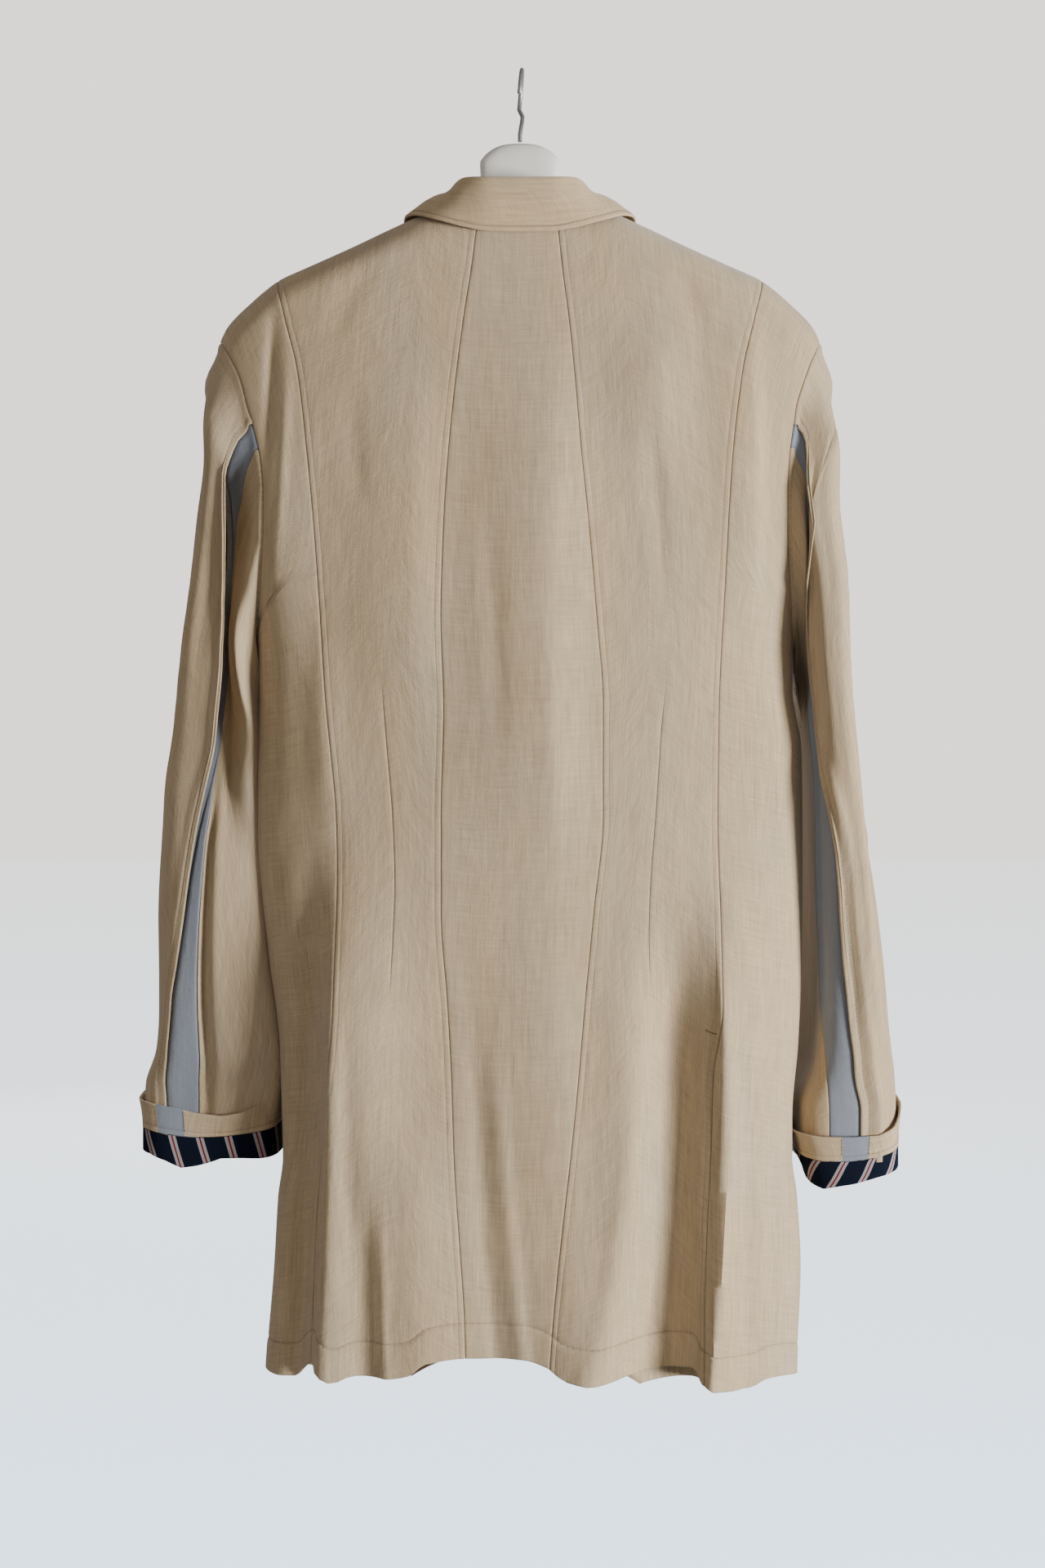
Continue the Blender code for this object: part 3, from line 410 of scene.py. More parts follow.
def section_angle(x, height):
    """The angle from the centre back of a place across the body, in degrees."""
    half_width = np.where(x > 0, along(BODY, "left", height), along(BODY, "right", height))
    share = np.clip(np.abs(x) / half_width, 0.0, 0.9995)
    turn = np.arctan2(share, (1.0 - share**SQUARENESS) ** (1.0 / SQUARENESS))
    return np.degrees(turn) * np.sign(x)


def fold_rise(folds, across, height):
    """How far the folds lift the cloth off its plain section."""
    total = np.zeros(np.shape(across))
    for top, low, first, middle, last, to_left, to_right, rise in zip(*folds.values()):
        share = np.clip((height - top) / (low - top), 0.0, 1.0)
        line = first * (1 - share) * (1 - 2 * share) + middle * 4 * share * (1 - share)
        line = line + last * share * (2 * share - 1)
        spread = np.where(across > line, to_left, to_right)
        strength = smooth((top - height) / (0.4 * (top - low)))
        if low > FOLDS_RUN_OUT:
            strength = strength * smooth((height - low) / (0.4 * (top - low)))
        total = total + rise * strength * np.exp(-(((across - line) / spread) ** 2))
    return total


def front_lift(across, height, front):
    """How far a front lies out of the plain section, so that the left one can lie over the right one."""
    own_side = across * front
    near_edge = 1.0 - smooth((own_side - BUTTON_STAND) / 0.055)
    below_chest = smooth((-0.20 - height) / 0.12)
    lift = LEFT_FRONT_LIFT if front > 0 else RIGHT_FRONT_LIFT
    return lift * near_edge * below_chest


def hem_relief(fall):
    """The hem is filled out below its stitches, which sink into the cloth."""
    up = (1.0 - fall) * BODY_LENGTH
    sunk = 0.9 * np.exp(-(((up - HEM_DEPTH) / 0.0016) ** 2))
    return HEM_FILL * (smooth((HEM_DEPTH - up) / 0.003) - sunk)


def torso(angle, fall, front=0):
    """Points of the body cloth. front is 1 on the left front, -1 on the right front and 0 behind."""
    turn = np.radians(angle)
    across, deep = np.sin(turn), np.cos(turn)
    size = (np.abs(across) ** SQUARENESS + np.abs(deep) ** SQUARENESS) ** (1.0 / SQUARENESS)
    across, deep = across / size, deep / size
    ridge_place = np.abs(across) * SHOULDER_HALF_WIDTH
    ridge = along(SHOULDER, "height", ridge_place)
    neck = NECK_DROP * np.clip(1.0 - (ridge_place / NECK_HALF_WIDTH) ** 2, 0.0, 1.0)
    top = ridge - np.where(deep > 0, neck, 0.0)
    height = top + (along(HEM, "height", (angle + 180) % 360 - 180) - top) * fall
    left, right = along(BODY, "left", height), along(BODY, "right", height)
    half_width = np.where(across > 0, left, right)
    depth = np.where(deep > 0, along(BODY, "back", height), along(BODY, "front", height))
    rounding = np.clip(1.0 - (ridge - height) / RIDGE_FALL, 0.0, 1.0)
    depth = depth * np.sqrt(1.0 - rounding**2)
    x = half_width * across
    y = depth * deep - SHOULDER_FORWARD * across**2
    out_x = np.sign(across) * np.abs(across) ** (SQUARENESS - 1) / half_width
    out_y = np.sign(deep) * np.abs(deep) ** (SQUARENESS - 1) / np.maximum(depth, 0.02)
    out = np.hypot(out_x, out_y)
    behind = fold_rise(BACK_FOLDS, x, height) + fold_rise(BACK_CREASES, x, height)
    before = fold_rise(FRONT_FOLDS, x, height) + fold_rise(FRONT_CREASES, x, height)
    lift = np.where(deep > 0, behind, before) * smooth(np.abs(deep) / 0.35) + hem_relief(fall)
    if front:
        lift = lift + front_lift(x, height, front)
    return np.stack([x + lift * out_x / out, y + lift * out_y / out, height], axis=-1)


def unit(vectors):
    return vectors / np.maximum(np.linalg.norm(vectors, axis=-1, keepdims=True), 1e-12)


def torso_normals(angle, fall, front=0):
    """The way out of the body cloth, the same on both sides of a seam."""
    round_step, fall_step = 0.3, 0.0012
    round_body = torso(angle + round_step, fall, front) - torso(angle - round_step, fall, front)
    lower = torso(angle, np.minimum(fall + fall_step, 1.0), front)
    upper = torso(angle, np.maximum(fall - fall_step, 0.0), front)
    return unit(np.cross(round_body, lower - upper))


def line_angles(x_at, face, falls=ROW_FALLS):
    """The angle of a seam or edge at each fall, from its x at each height. face is 1 behind, -1 before."""
    low = np.full(len(falls), -1.07)
    high = np.full(len(falls), -0.09)
    for _ in range(40):
        height = (low + high) / 2
        own = section_angle(x_at(height), height)
        angle = own if face > 0 else 180.0 - own
        too_high = torso(angle, falls)[:, 2] < height
        high = np.where(too_high, height, high)
        low = np.where(too_high, low, height)
    return angle


def seam_line(rows, column, side):
    return line_angles(lambda height: side * along(rows, column, height), 1)


def armhole_line(side, face, falls=ROW_FALLS):
    """The armhole down to the underarm, then the side seam."""
    column = "left" if side > 0 else "right"

    def x_at(height):
        half_width = along(BODY, column, height)
        return side * np.where(height > UNDERARM_HEIGHT, along(ARMHOLE, column, height), half_width)

    angles = line_angles(x_at, face, falls)
    below = falls > UNDERARM_FALL / BODY_LENGTH - 0.0001
    return np.where(below, side * 90.0 if face > 0 else 180.0 - side * 90.0, angles)


# Beside a line in the cloth: the distance from it and how far the cloth is sunk there. A topstitched seam
# also sinks under its stitches, a plain one doesn't, and a dart is a narrow valley.
TOPSTITCHED = (
    (0.45, 0.38), (0.7, 0.18), (1.2, 0.05), (2.2, 0), (3.9, 0.02), (4.4, 0.12), (4.7, 0.2), (5.0, 0.12),
    (5.5, 0.02), (8.5, 0),
)
PLAIN_SEAM = ((0.45, 0.4), (0.7, 0.2), (1.2, 0.06), (2.6, 0), (5.0, 0), (8.5, 0))
DART = ((0.0, 0.6), (0.4, 0.35), (0.9, 0.1), (2.0, 0), (5.0, 0))
FOLDED = ((0.0, 0.6), (0.5, 0.25), (1.2, 0.05), (2.4, 0), (5.0, 0))


def columns_beside(surface, lines, besides, middles):
    """A panel's places across, and how far each is sunk. Between two lines there are columns at set
    distances beside each, and even ones in the middle."""
    places, sunk = [], []
    for k, middle in enumerate(middles):
        first, last = lines[k], lines[k + 1]
        shares = np.arange(-2, 35) / 32
        scale = first[:, None] + (last - first)[:, None] * shares
        reach = np.linalg.norm(np.diff(surface(scale), axis=1), axis=2).cumsum(axis=1)
        reach = np.concatenate([np.zeros((len(first), 1)), reach], axis=1)
        reach -= reach[:, 2:3]
        width = reach[:, -3:-2]
        near = np.array(besides[k]) * (MM, 1.0)
        far = np.array(besides[k + 1])[::-1] * (MM, 1.0)
        fit = np.minimum(1.0, 0.46 * width / max(near[-1, 0], far[0, 0]))
        start, end = near[:, 0] * fit, width - far[:, 0] * fit
        between = start[:, -1:] + (end[:, :1] - start[:, -1:]) * np.linspace(0, 1, middle + 2)[1:-1]
        away = np.concatenate([start, between, end], axis=1)
        deep = np.concatenate([near[:, 1], np.zeros(middle), far[:, 1]])
        own = np.array([np.interp(row, reach[i], scale[i]) for i, row in enumerate(away)])
        if k:
            own, deep = own[:, 1:], deep[1:]
        places.append(own)
        sunk.append(deep)
    return np.concatenate(places, axis=1), np.concatenate(sunk)


# An edge carried on inside the blazer: back from the edge and in from it. A sewn edge shows its allowance
# only at the seam, and a hem is turned up inside.
SEWN = ((0.0, 1.2), (0.0, 4.5))
HEMMED = ((-0.2, 0.45), (-0.15, 1.0), (0.6, 1.4), (3.0, 1.5), (14.0, 1.5), (24.0, 1.4))


def turned(points, out, edge, steps):
    """The panel and its ways out, with one edge carried on inside by the steps."""
    axis = 0 if edge in ("top", "low") else 1
    rows, ways = np.moveaxis(points, axis, 0), np.moveaxis(out, axis, 0)
    if edge in ("low", "last"):
        rows, ways = rows[::-1], ways[::-1]
    back = unit(rows[1] - rows[0])
    inwards = ways[0][..., :3] * MM
    extra = [rows[0] + back * MM * behind - inwards * inside for behind, inside in steps[::-1]]
    rows = np.concatenate([extra, rows])
    ways = np.concatenate([[ways[0]] * len(extra), ways])
    if edge in ("low", "last"):
        rows, ways = rows[::-1], ways[::-1]
    return np.moveaxis(rows, 0, axis), np.moveaxis(ways, 0, axis)


def thread_places(points, start):
    """Each point's place along the weft and the warp, in metres of cloth."""
    weft = np.linalg.norm(np.diff(points, axis=1), axis=2).cumsum(axis=1)
    warp = np.linalg.norm(np.diff(points, axis=0), axis=2).cumsum(axis=0)
    rows, columns = points.shape[:2]
    u = np.concatenate([np.zeros((rows, 1)), weft], axis=1)
    v = np.concatenate([np.zeros((1, columns)), warp])
    u = u - u[:, columns // 2:columns // 2 + 1]
    return np.stack([u + start[0], v + start[1]], axis=-1)


def with_painted_seam_shade(out, painted_seam_shade):
    """The ways out of the cloth, each with how much painted shade darkens its place along seams and
    stitches, from 0 to 1.
    """
    return np.concatenate([out, np.broadcast_to(painted_seam_shade, out.shape[:2])[..., None]], axis=-1)


def make_cloth(name, points, material, out=None, thickness=CLOTH, ring=False, start=(0.0, 0.0)):
    """A grid laid over rows and columns of points, given a wall. Its threads' places are its UV map, and the
    painted shade along its seams and stitches is an attribute, from the ways out."""
    painted_seam_shade = np.zeros(points.shape[:2]) if out is None or out.shape[-1] < 4 else out[..., 3]
    if ring:
        points = np.concatenate([points, points[:, :1]], axis=1)
        painted_seam_shade = np.concatenate([painted_seam_shade, painted_seam_shade[:, :1]], axis=1)
    rows, columns = points.shape[:2]
    bpy.ops.mesh.primitive_grid_add(x_subdivisions=columns - 1, y_subdivisions=rows - 1, size=2)
    piece = bpy.context.object
    piece.name = name
    mesh = piece.data
    mesh.name = name
    flat = np.empty(len(mesh.vertices) * 3)
    mesh.vertices.foreach_get("co", flat)
    flat = flat.reshape(-1, 3)
    column = np.rint((flat[:, 0] + 1) / 2 * (columns - 1)).astype(int)
    row = np.rint((flat[:, 1] + 1) / 2 * (rows - 1)).astype(int)
    mesh.vertices.foreach_set("co", points[row, column].ravel())
    corners = np.empty(len(mesh.loops), int)
    mesh.loops.foreach_get("vertex_index", corners)
    threads = thread_places(points, start)
    mesh.uv_layers[0].data.foreach_set("uv", threads[row, column][corners].ravel())
    mesh.attributes.new("painted_seam_shade", "FLOAT", "POINT").data.foreach_set("value", painted_seam_shade[row, column].ravel())
    mesh.update()
    if ring:
        bpy.ops.object.mode_set(mode="EDIT")
        bpy.ops.mesh.select_all(action="SELECT")
        bpy.ops.mesh.remove_doubles(threshold=0.00001)
        bpy.ops.object.mode_set(mode="OBJECT")
    wall = piece.modifiers.new("Wall", "SOLIDIFY")
    wall.thickness = thickness
    wall.offset = 0.0
    bpy.ops.object.modifier_apply(modifier=wall.name)
    bpy.ops.object.shade_smooth_by_angle(angle=np.radians(60))
    piece.data.materials.append(material)
    return piece


def make_weave_group():
    """Plain-weave cloth: threads over and under, thick places in some of them, and a soft unevenness."""
    tree = bpy.data.node_groups.new("plain weave", "ShaderNodeTree")
    given, out = group_sockets(
        tree,
        (("Colour", "NodeSocketColor", (1, 1, 1, 1)), ("Thread", "NodeSocketFloat", 0.00062),
         ("Slubs", "NodeSocketFloat", 0.2), ("Mottle", "NodeSocketFloat", 0.1)),
        (("Colour", "NodeSocketColor"), ("Height", "NodeSocketFloat"), ("Rumple", "NodeSocketFloat")),
    )

    maths = partial(add_maths, tree)
    place = add_node(tree, "ShaderNodeUVMap").outputs["UV"]
    split = add_node(tree, "ShaderNodeSeparateXYZ", Vector=place)

    def multiplied(first, second):
        settings = {"operation": "MULTIPLY"}
        return add_node(tree, "ShaderNodeVectorMath", settings, _0=first, _1=second).outputs[0]

    def noise(across, down, detail):
        vector = multiplied(place, (across, down, 1.0))
        made = add_node(tree, "ShaderNodeTexNoise", Vector=vector, Scale=1.0, Detail=detail, Roughness=0.6)
        return made.outputs["Fac"]

    # Slubs: some threads run thicker and lighter for a few centimetres, in both ways of the cloth.
    slub = maths("MULTIPLY", noise(38.0, 820.0, 2.0), 0.50)
    slub = maths("MULTIPLY_ADD", noise(820.0, 30.0, 2.0), 0.75, slub)
    slub = maths("MULTIPLY_ADD", noise(12.0, 320.0, 1.0), 0.10, slub)
    # Wider streaks run mostly along the warp, where the yarn changes.
    streak = maths("MULTIPLY", noise(240.0, 9.0, 2.0), 0.26)
    streak = maths("MULTIPLY_ADD", noise(85.0, 6.0, 1.0), 0.14, streak)
    streak = maths("MULTIPLY_ADD", noise(6.0, 170.0, 1.0), 0.1, streak)
    uneven = maths("SUBTRACT", maths("ADD", streak, slub), 0.925)
    slub_shift = maths("MULTIPLY", uneven, given["Slubs"])
    # The weave itself.
    turn = maths("DIVIDE", np.pi, given["Thread"])
    weft_wave, warp_wave = (maths("SINE", maths("MULTIPLY", split.outputs[way], turn)) for way in "XY")
    weave = maths("MULTIPLY", weft_wave, warp_wave)
    # Cloudy unevenness over centimetres, a little greener and greyer, or warmer.
    cloud_shift = maths("MULTIPLY", maths("SUBTRACT", noise(9.0, 6.0, 3.0), 0.5), given["Mottle"])
    warmth = maths("MULTIPLY", maths("SUBTRACT", noise(14.0, 5.0, 2.0), 0.5), given["Mottle"])
    shade = maths("ADD", maths("MULTIPLY_ADD", weave, 0.05, slub_shift), maths("ADD", cloud_shift, 1.0))
    red, blue = (maths("MULTIPLY_ADD", warmth, share, 1.0) for share in (0.5, -0.9))
    warmer = add_node(tree, "ShaderNodeCombineXYZ", X=red, Y=1.0, Z=blue).outputs[0]
    tinted = multiplied(add_scaled(tree, given["Colour"], shade), warmer)
    height = maths("MULTIPLY_ADD", weave, 0.35, slub)
    connect(tree, out, Colour=tinted, Height=height, Rumple=noise(80.0, 42.0, 5.0))
    return tree


WEAVE = make_weave_group()
# How much painted shade darkens the cloth along a seam or under stitches.
PAINTED_SEAM_SHADE_DARK = 0.24


def woven(name, colour, slubs=0.9, mottle=0.3, sheen=0.25, rumple=0.5):
    """A cloth finish from the shared weave group."""
    material, tree, shader = own_material(name, colour, 0.92)
    shader.inputs["Sheen Weight"].default_value = sheen
    shader.inputs["Sheen Roughness"].default_value = 0.5
    shader.inputs["Specular IOR Level"].default_value = 0.25
    weave = add_node(
        tree, "ShaderNodeGroup", {"node_tree": WEAVE},
        Colour=(*colour, 1), Slubs=slubs, Mottle=mottle,
    )
    soft = add_relief(tree, weave.outputs["Rumple"], rumple, 0.0016)
    relief = add_relief(tree, weave.outputs["Height"], 0.55, 0.0003, Normal=soft)
    # Painted shade darkens the cloth along its seams and stitches, read from the mesh's attribute.
    painted_seam_shade = add_node(tree, "ShaderNodeAttribute", {"attribute_name": "painted_seam_shade"}).outputs["Fac"]
    left_over = add_maths(tree, "MULTIPLY_ADD", painted_seam_shade, -PAINTED_SEAM_SHADE_DARK, 1.0)
    darkened = add_scaled(tree, weave.outputs["Colour"], left_over)
    connect(tree, shader.inputs, Base_Color=darkened, Normal=relief)
    return material


LINEN = woven("natural linen", (0.45, 0.335, 0.205))
THREAD = worn("linen sewing thread", (0.24, 0.18, 0.12), 0.8, size=300.0, spread=0.2)

# The seams' lines round the back, from the right armhole to the left one.
RIGHT_ARMHOLE = armhole_line(-1, 1)
LEFT_ARMHOLE = armhole_line(1, 1)
OUTER_LEFT, OUTER_RIGHT = seam_line(SEAMS, "outer_left", 1), seam_line(SEAMS, "outer_right", -1)
INNER_LEFT, INNER_RIGHT = seam_line(SEAMS, "inner_left", 1), seam_line(SEAMS, "inner_right", -1)
DART_LEFT, DART_RIGHT = seam_line(DARTS, "left", 1), seam_line(DARTS, "right", -1)
DART_COLUMNS = 2 * len(DART) - 1


def body_panel(name, lines, besides, middles, edges, front=0, start=(0.0, 0.0)):
    """A panel of the body cloth between its lines, with its edges turned in."""
    falls = ROW_FALLS[:, None]

    def surface(angles):
        return torso(angles, np.broadcast_to(falls, angles.shape), front)

    angles, sunk = columns_beside(surface, lines, besides, middles)
    fall = np.broadcast_to(falls, angles.shape)
    out = torso_normals(angles, fall, front)
    sunk = np.broadcast_to(sunk, angles.shape).copy()
    if len(lines) == 3:
        height = torso(lines[1], ROW_FALLS)[:, 2]
        tapered = smooth((DART_TOP - height) / DART_TAPER[0]) * smooth((height - DART_LOW) / DART_TAPER[1])
        first = len(besides[0]) + middles[0]
        sunk[:, first:first + DART_COLUMNS] *= tapered[:, None]
    points = torso(angles, fall, front) - out * (sunk * MM)[..., None]
    # Painted shade darkens the cloth where it sinks at seams, stitches and the dart, and along the hem's
    # stitches.
    hem_stitched = np.exp(-((((1.0 - fall) * BODY_LENGTH - HEM_DEPTH) / 0.0007) ** 2))
    out = with_painted_seam_shade(out, np.clip(np.maximum(sunk / 0.6, hem_stitched), 0.0, 1.0))
    # The shoulder seam sinks a little, and its edge is drawn back from the seam.
    points[0] += unit(points[1] - points[0]) * 0.00055 - out[0, :, :3] * 0.0006
    points[1] -= out[1, :, :3] * 0.0002
    for edge, steps in edges:
        points, out = turned(points, out, edge, steps)
    return make_cloth(name, points, LINEN, out, start=start)


def read_along(reach, values, at):
    """Vectors known at some places along a line, read at others."""
    return np.stack([np.interp(at, reach, values[:, i]) for i in range(values.shape[1])], axis=-1)


def make_stitches(name, lines, length=0.0026, step=0.0033, size=0.00042, material=THREAD):
    """Stitches along lines, each a run of places and the ways out of the cloth there. One is shaped from a
    ball drawn out to a stitch, and the rest are its copies."""
    bpy.ops.mesh.primitive_uv_sphere_add(segments=6, ring_count=5, radius=0.5)
    piece = bpy.context.object
    piece.name = name
    bpy.ops.object.mode_set(mode="EDIT")
    bpy.ops.mesh.select_all(action="SELECT")
    bpy.ops.transform.resize(value=(size, size, length))
    bpy.ops.object.mode_set(mode="OBJECT")
    ball = np.array([vert.co for vert in piece.data.vertices])
    faces = [tuple(face.vertices) for face in piece.data.polygons]
    verts, polygons = [], []
    for places, ways in lines:
        reach = np.concatenate([[0.0], np.linalg.norm(np.diff(places, axis=0), axis=1).cumsum()])
        at = np.arange(step / 2, reach[-1], step)
        middle, ahead, behind = (read_along(reach, places, at + step_on) for step_on in (0.0, MM, -MM))
        out = unit(read_along(reach, ways, at))
        run = unit(ahead - behind)
        side = unit(np.cross(run, out))
        out = np.cross(side, run)
        for k in range(len(at)):
            base = len(verts)
            frame_here = np.stack([side[k], out[k], run[k]])
            bend = out[k] * (ball[:, 2:] / length) ** 2 * -1.6 * size
            verts.extend(middle[k] + out[k] * (CLOTH / 2 + size * 0.3) + ball @ frame_here + bend)
            polygons.extend(tuple(base + i for i in face) for face in faces)
    mesh = bpy.data.meshes.new(name)
    mesh.from_pydata([tuple(vert) for vert in verts], [], polygons)
    mesh.shade_smooth()
    ball_mesh = piece.data
    piece.data = mesh
    bpy.data.meshes.remove(ball_mesh)
    mesh.materials.append(material)
    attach(piece, "root")
    return piece


def beside_line(line, away, falls=ROW_FALLS, front=0, sunk=0.0004):
    """Places and ways out beside a line of the body cloth, this far from it towards the wearer's left."""
    step = 0.2
    here, there = torso(line, falls, front), torso(line + step, falls, front)
    turn = away / np.maximum(np.linalg.norm(there - here, axis=1), 1e-9) * step
    places, ways = torso(line + turn, falls, front), torso_normals(line + turn, falls, front)
    return places - ways * sunk, ways


# Each panel: its node, its lines from the wearer's right to left, its columns, where its threads start, and
# how it was cut: width, length and flat area.
for name, node, lines, middles, start, flat, area in (
    ("middle_panel", "centre", (INNER_RIGHT, INNER_LEFT), (18,), (0.0, 0.0), (0.135, 0.905), 0.098),
    ("side_panel_left", "side_left", (INNER_LEFT, DART_LEFT, OUTER_LEFT), (8, 8), (1.3, 0.4),
     (0.19, 0.945), 0.108),
    ("side_panel_right", "side_right", (OUTER_RIGHT, DART_RIGHT, INNER_RIGHT), (10, 8), (2.1, 1.4),
     (0.195, 0.945), 0.116),
    ("outer_panel_left", "outer_left", (OUTER_LEFT, LEFT_ARMHOLE), (16,), (3.3, 0.7), (0.12, 0.895), 0.078),
    ("outer_panel_right", "outer_right", (RIGHT_ARMHOLE, OUTER_RIGHT), (18,), (4.2, 2.2),
     (0.14, 0.905), 0.091),
):
    besides = (PLAIN_SEAM, PLAIN_SEAM) if len(lines) == 2 else (TOPSTITCHED, DART, TOPSTITCHED)
    edges = (("first", SEWN), ("last", SEWN), ("low", HEMMED))
    piece = body_panel("back_" + name, lines, besides, middles, edges, start=start)
    finish_piece(piece, "linen", "back_" + node)
# How far beside its seam each line of topstitches lies.
TOPSTITCH = 0.0047
make_stitches("back_seam_stitches", (
    beside_line(INNER_LEFT, TOPSTITCH), beside_line(INNER_RIGHT, -TOPSTITCH),
    beside_line(OUTER_LEFT, -TOPSTITCH), beside_line(OUTER_RIGHT, TOPSTITCH),
))
# A short dark thread lies across the right outer seam, low on the back.
DARK_THREAD = worn("dark thread", (0.035, 0.028, 0.024), 0.8, size=300.0, spread=0.2)
MARK_HEIGHT = -0.747
mark_row = np.argmin(np.abs(torso(OUTER_RIGHT, ROW_FALLS)[:, 2] - MARK_HEIGHT))
mark_angles = section_angle(np.linspace(-0.1475, -0.1395, 6), np.full(6, MARK_HEIGHT))
mark_falls = np.full(6, ROW_FALLS[mark_row])
make_stitches("dark_thread_end", (
    (torso(mark_angles, mark_falls), torso_normals(mark_angles, mark_falls)),
), length=0.0031, step=0.0026, size=0.0006, material=DARK_THREAD)
# The hem's stitches, from one side seam round the back to the other.
hem_angles = np.linspace(-89, 89, 260)
hem_falls = np.full(len(hem_angles), 1.0 - HEM_DEPTH / BODY_LENGTH)
make_stitches("back_hem_stitches", (
    (torso(hem_angles, hem_falls), torso_normals(hem_angles, hem_falls)),
), length=0.0024, step=0.0048)


# The fronts. The same linen, one panel each side from the shoulder to the hem. The front edge is folded
# back on itself, the left one laps over the right one, and the lower corners are rounded.

FRONT_EDGE = table(
    "height edge",
    (-100, 72), (-113, 71), (-180, 47), (-430, -20), (-680, -20), (-800, -19), (-880, -14),
    (-930, -6), (-965, 4), (-992, 18), (-1012, 35), (-1027, 56), (-1036, 76), (-1060, 110),
)
EDGE_TURNED = ((-0.1, 0.4), (0.0, 1.0), (0.7, 1.35), (4.0, 1.4), (12.0, 1.4))
for word, side, start in (("left", 1, (5.1, 0.3)), ("right", -1, (6.4, 1.1))):
    lines = line_angles(lambda height: side * along(FRONT_EDGE, "edge", height), -1), armhole_line(side, -1)
    edges = (("first", EDGE_TURNED), ("last", SEWN), ("low", HEMMED))
    piece = body_panel("front_panel_" + word, lines, (FOLDED, PLAIN_SEAM), (44,), edges, side, start)
    finish_piece(piece, "linen", "front_" + word)


# The lapels. The upper fronts folded back along the roll line. Each is faced with the same linen, so it is
# a plain panel here, topstitched near its folded edge.

GORGE_HEIGHT = -0.180
BREAK_HEIGHT = -0.430
LAPEL_CLEAR = 0.003
LAPEL_LIFT = 0.0034
THIN_CLOTH = 0.0007
# The column that carries the stitches, counted from the lapel's outer edge.
LAPEL_STITCHED = -6
# Each row's outer edge, by its share of the way from the gorge to the break.
LAPEL = table(
    "share across height",
    (0, 118, -212), (0.12, 117, -236), (0.3, 106, -276), (0.55, 76, -336), (0.8, 32, -392), (1, -12, -430),
)


def on_body(x, height, face, front=0):
    """The place on the body cloth, with its way out, at an x and a height, behind or in front."""
    x, height = np.broadcast_arrays(np.asarray(x, float), np.asarray(height, float))
    angle = section_angle(x, height)
    angle = angle if face > 0 else 180.0 - angle
    top = torso(angle, np.zeros(angle.shape))[..., 2]
    low = torso(angle, np.ones(angle.shape))[..., 2]
    fall = (height - top) / (low - top)
    return torso(angle, fall, front), torso_normals(angle, fall, front)


def steps_along(points, axis, ring=False):
    """The way along a row or a column at each point, the mean of the ways to its neighbours."""
    ahead = unit(np.roll(points, -1, axis=axis) - points)
    behind = unit(points - np.roll(points, 1, axis=axis))
    if not ring:
        end = [slice(None)] * 3
        end[axis] = -1
        start = [slice(None)] * 3
        start[axis] = 0
        ahead[tuple(end)] = behind[tuple(end)]
        behind[tuple(start)] = ahead[tuple(start)]
    return unit(ahead + behind)


def grid_normals(points, towards, ring=False):
    """The way out of a surface given as points, on the side that the whole of it has towards."""
    normals = unit(np.cross(steps_along(points, 1, ring), steps_along(points, 0)))
    return normals * np.sign((normals * towards).sum())


def make_lapel(name, side, start):
    rows = np.linspace(0.0, 1.0, 64)
    roll_height = np.linspace(GORGE_HEIGHT - LAPEL_CLEAR, BREAK_HEIGHT + LAPEL_CLEAR, len(rows))
    roll = along(FRONT_EDGE, "edge", roll_height)
    outer, outer_height = along(LAPEL, "across", rows), along(LAPEL, "height", rows)
    # Round the roll first, and then out over the chest.
    columns = [(0.0, CLOTH * (1.0 + np.sin(turn)), LAPEL_LIFT * (1 - np.cos(turn)) / 2)
               for turn in np.linspace(0.0, 2.2, 7)]
    shares = np.concatenate([np.linspace(0.05, 0.93, 26), (0.95, 0.965, 0.98, 0.99, 0.996, 1.0)])
    columns += [(share, 0.0, LAPEL_LIFT * (1 + 0.25 * np.sin(np.pi * share))) for share in shares]
    points = []
    for share, past, lift in columns:
        x = side * (roll - past + (outer - roll) * share)
        place, out = on_body(x, roll_height + (outer_height - roll_height) * share, -1, side)
        points.append(place + out * lift)
    points = np.stack(points, axis=1)
    out = grid_normals(points, np.array((0.0, -1.0, 0.0)))
    stitched = points[:, LAPEL_STITCHED] + out[:, LAPEL_STITCHED] * STITCH_PROUD, out[:, LAPEL_STITCHED]
    points[:, LAPEL_STITCHED] -= out[:, LAPEL_STITCHED] * LINE_SUNK
    points[:, -1] -= out[:, -1] * 0.0004
    # Painted shade darkens the cloth along the stitched line.
    painted_seam_shade = np.zeros(points.shape[1])
    painted_seam_shade[LAPEL_STITCHED] = 0.9
    out = with_painted_seam_shade(out, painted_seam_shade)
    turned_in = ((0.05, 0.35), (0.4, 0.8), (4.0, 0.9), (10.0, 0.9))
    points, out = turned(points, out, "last", turned_in)
    piece = make_cloth(name, points, LINEN, out, thickness=THIN_CLOTH, start=start)
    stitches = make_stitches(name + "_stitches", (stitched,))
    return piece, stitches


for word, side, start in (("left", 1, (7.1, 0.2)), ("right", -1, (7.9, 1.2))):
    lapel, stitches = make_lapel("lapel_turned_" + word, side, start)
    finish_piece(lapel, "linen", "lapel_" + word)


# The sleeves. Two-piece linen sleeves with a strip of grey-blue linen let in along the back of each, from
# the armhole to the cuff. The upper sleeve's edge laps over the strip and is topstitched, and the arms hang
# softly dented.

STRIP_LINEN = woven("grey-blue linen", (0.215, 0.23, 0.262), slubs=0.35, mottle=0.10, sheen=0.2, rumple=0.3)
